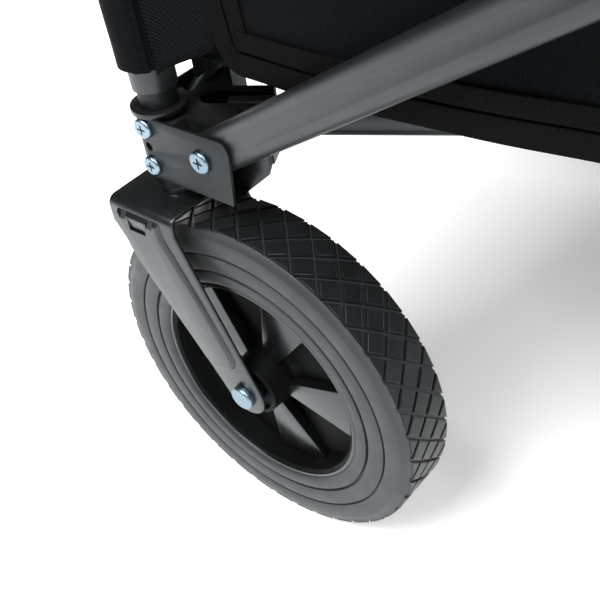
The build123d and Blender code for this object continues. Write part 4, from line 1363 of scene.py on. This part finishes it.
@dataclass
class Studio:
    """Pale floor, white surroundings, soft lamps and the camera."""

    layout: Layout
    # the camera's azimuth, fall and roll in degrees, and its place from the wheel's centre
    aim: tuple[float, float, float] = (-45.59, 39.86, -9.76)
    stand: tuple[float, float, float] = (0.2968, -0.26485, 0.3758)
    lens: float = 58.58
    lit_place: Vector = field(default_factory=lambda: Vector((-0.3, -0.1, 0.1)))
    wall_light: float = 0.5
    ceiling_light: float = 0.05
    floor_glow: float = 0.42
    key_power: float = 270.0
    fill_power: float = 90.0
    top_power: float = 270.0

    def build(self) -> None:
        """Sets up the room."""
        self.make_floor()
        self.make_world()
        self.make_lamps()
        self.make_camera()
        bpy.context.scene.view_settings.view_transform = "Standard"

    def make_floor(self) -> None:
        """A pale matte floor of acrylic, softly lit from below."""
        bpy.ops.object.select_all(action="DESELECT")
        bpy.ops.mesh.primitive_plane_add(size=60.0)
        floor = bpy.context.active_object
        floor.name = "studio_floor"
        g = Graph("pale_floor")
        g.tint(g.spread(g.noise(3.0), 0.0, 1.0), (0.86, 0.86, 0.86), (0.89, 0.89, 0.89))
        g.shader.inputs["Roughness"].default_value = 0.7
        g.shader.inputs["Emission Color"].default_value = (1.0, 1.0, 1.0, 1)
        g.shader.inputs["Emission Strength"].default_value = self.floor_glow
        floor.data.materials.append(g.material)

    def make_world(self) -> None:
        """Pale walls round the horizon under a dark ceiling."""
        world = bpy.data.worlds.new("studio_world")
        world.use_nodes = True
        nodes, links = world.node_tree.nodes, world.node_tree.links
        coords = nodes.new("ShaderNodeTexCoord")
        parts = nodes.new("ShaderNodeSeparateXYZ")
        links.new(coords.outputs["Generated"], parts.inputs[0])
        height = nodes.new("ShaderNodeMapRange")
        height.interpolation_type = "SMOOTHSTEP"
        links.new(parts.outputs["Z"], height.inputs["Value"])
        for key, number in (("From Min", 0.03), ("From Max", 0.30), ("To Min", self.wall_light),
                            ("To Max", self.ceiling_light)):
            height.inputs[key].default_value = number
        background = nodes["Background"]
        links.new(height.outputs["Result"], background.inputs["Strength"])
        background.inputs["Color"].default_value = (1.0, 1.0, 1.0, 1)
        bpy.context.scene.world = world

    def make_lamps(self) -> None:
        """A broad high key from the near side, a fill from the rear end and one overhead."""
        for name, place, size, power in (
            ("key_lamp", (-0.7, -2.6, 4.0), 2.2, self.key_power),
            ("fill_lamp", (3.2, -1.6, 4.0), 2.6, self.fill_power),
            ("top_lamp", (1.4, 0.3, 4.8), 3.0, self.top_power),
        ):
            lamp = bpy.data.lights.new(name, "AREA")
            lamp.shape = "SQUARE"
            lamp.size = size
            lamp.energy = power
            obj = bpy.data.objects.new(name, lamp)
            bpy.context.scene.collection.objects.link(obj)
            obj.location = place
            beam = self.lit_place - Vector(place)
            obj.rotation_euler = beam.to_track_quat("-Z", "Y").to_euler()

    def make_camera(self) -> None:
        """The camera close to the front left wheel, looking down and forward."""
        azimuth, down, roll = (math.radians(a) for a in self.aim)
        look = Vector((math.sin(azimuth) * math.cos(down), math.cos(azimuth) * math.cos(down),
                       -math.sin(down)))
        right = look.cross(UP).normalized()
        up = right.cross(look)
        image_right = right * math.cos(roll) + up * math.sin(roll)
        image_up = -right * math.sin(roll) + up * math.cos(roll)
        axes = Matrix((image_right, image_up, -look)).transposed().to_4x4()
        data = bpy.data.cameras.new("camera")
        data.lens = self.lens
        data.sensor_width = 36.0
        data.clip_start = 0.01
        camera = bpy.data.objects.new("camera", data)
        bpy.context.scene.collection.objects.link(camera)
        wheel = self.layout.wheels["fl"]
        camera.matrix_world = Matrix.Translation(wheel + Vector(self.stand)) @ axes
        bpy.context.scene.camera = camera


def main() -> None:
    """Builds the looks round the frame, one sub-assembly after another."""
    logging.basicConfig(level=logging.INFO, format="%(message)s")
    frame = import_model()
    layout = Layout.read()
    dresser = Dresser(frame)
    Studio(layout).build()
    Wheels(layout, dresser).build()
    Forks(layout, dresser).build()
    Frame(dresser).build()
    PullHandle(dresser).build()
    Tub(layout, dresser).build()


if __name__ == "__main__":
    main()
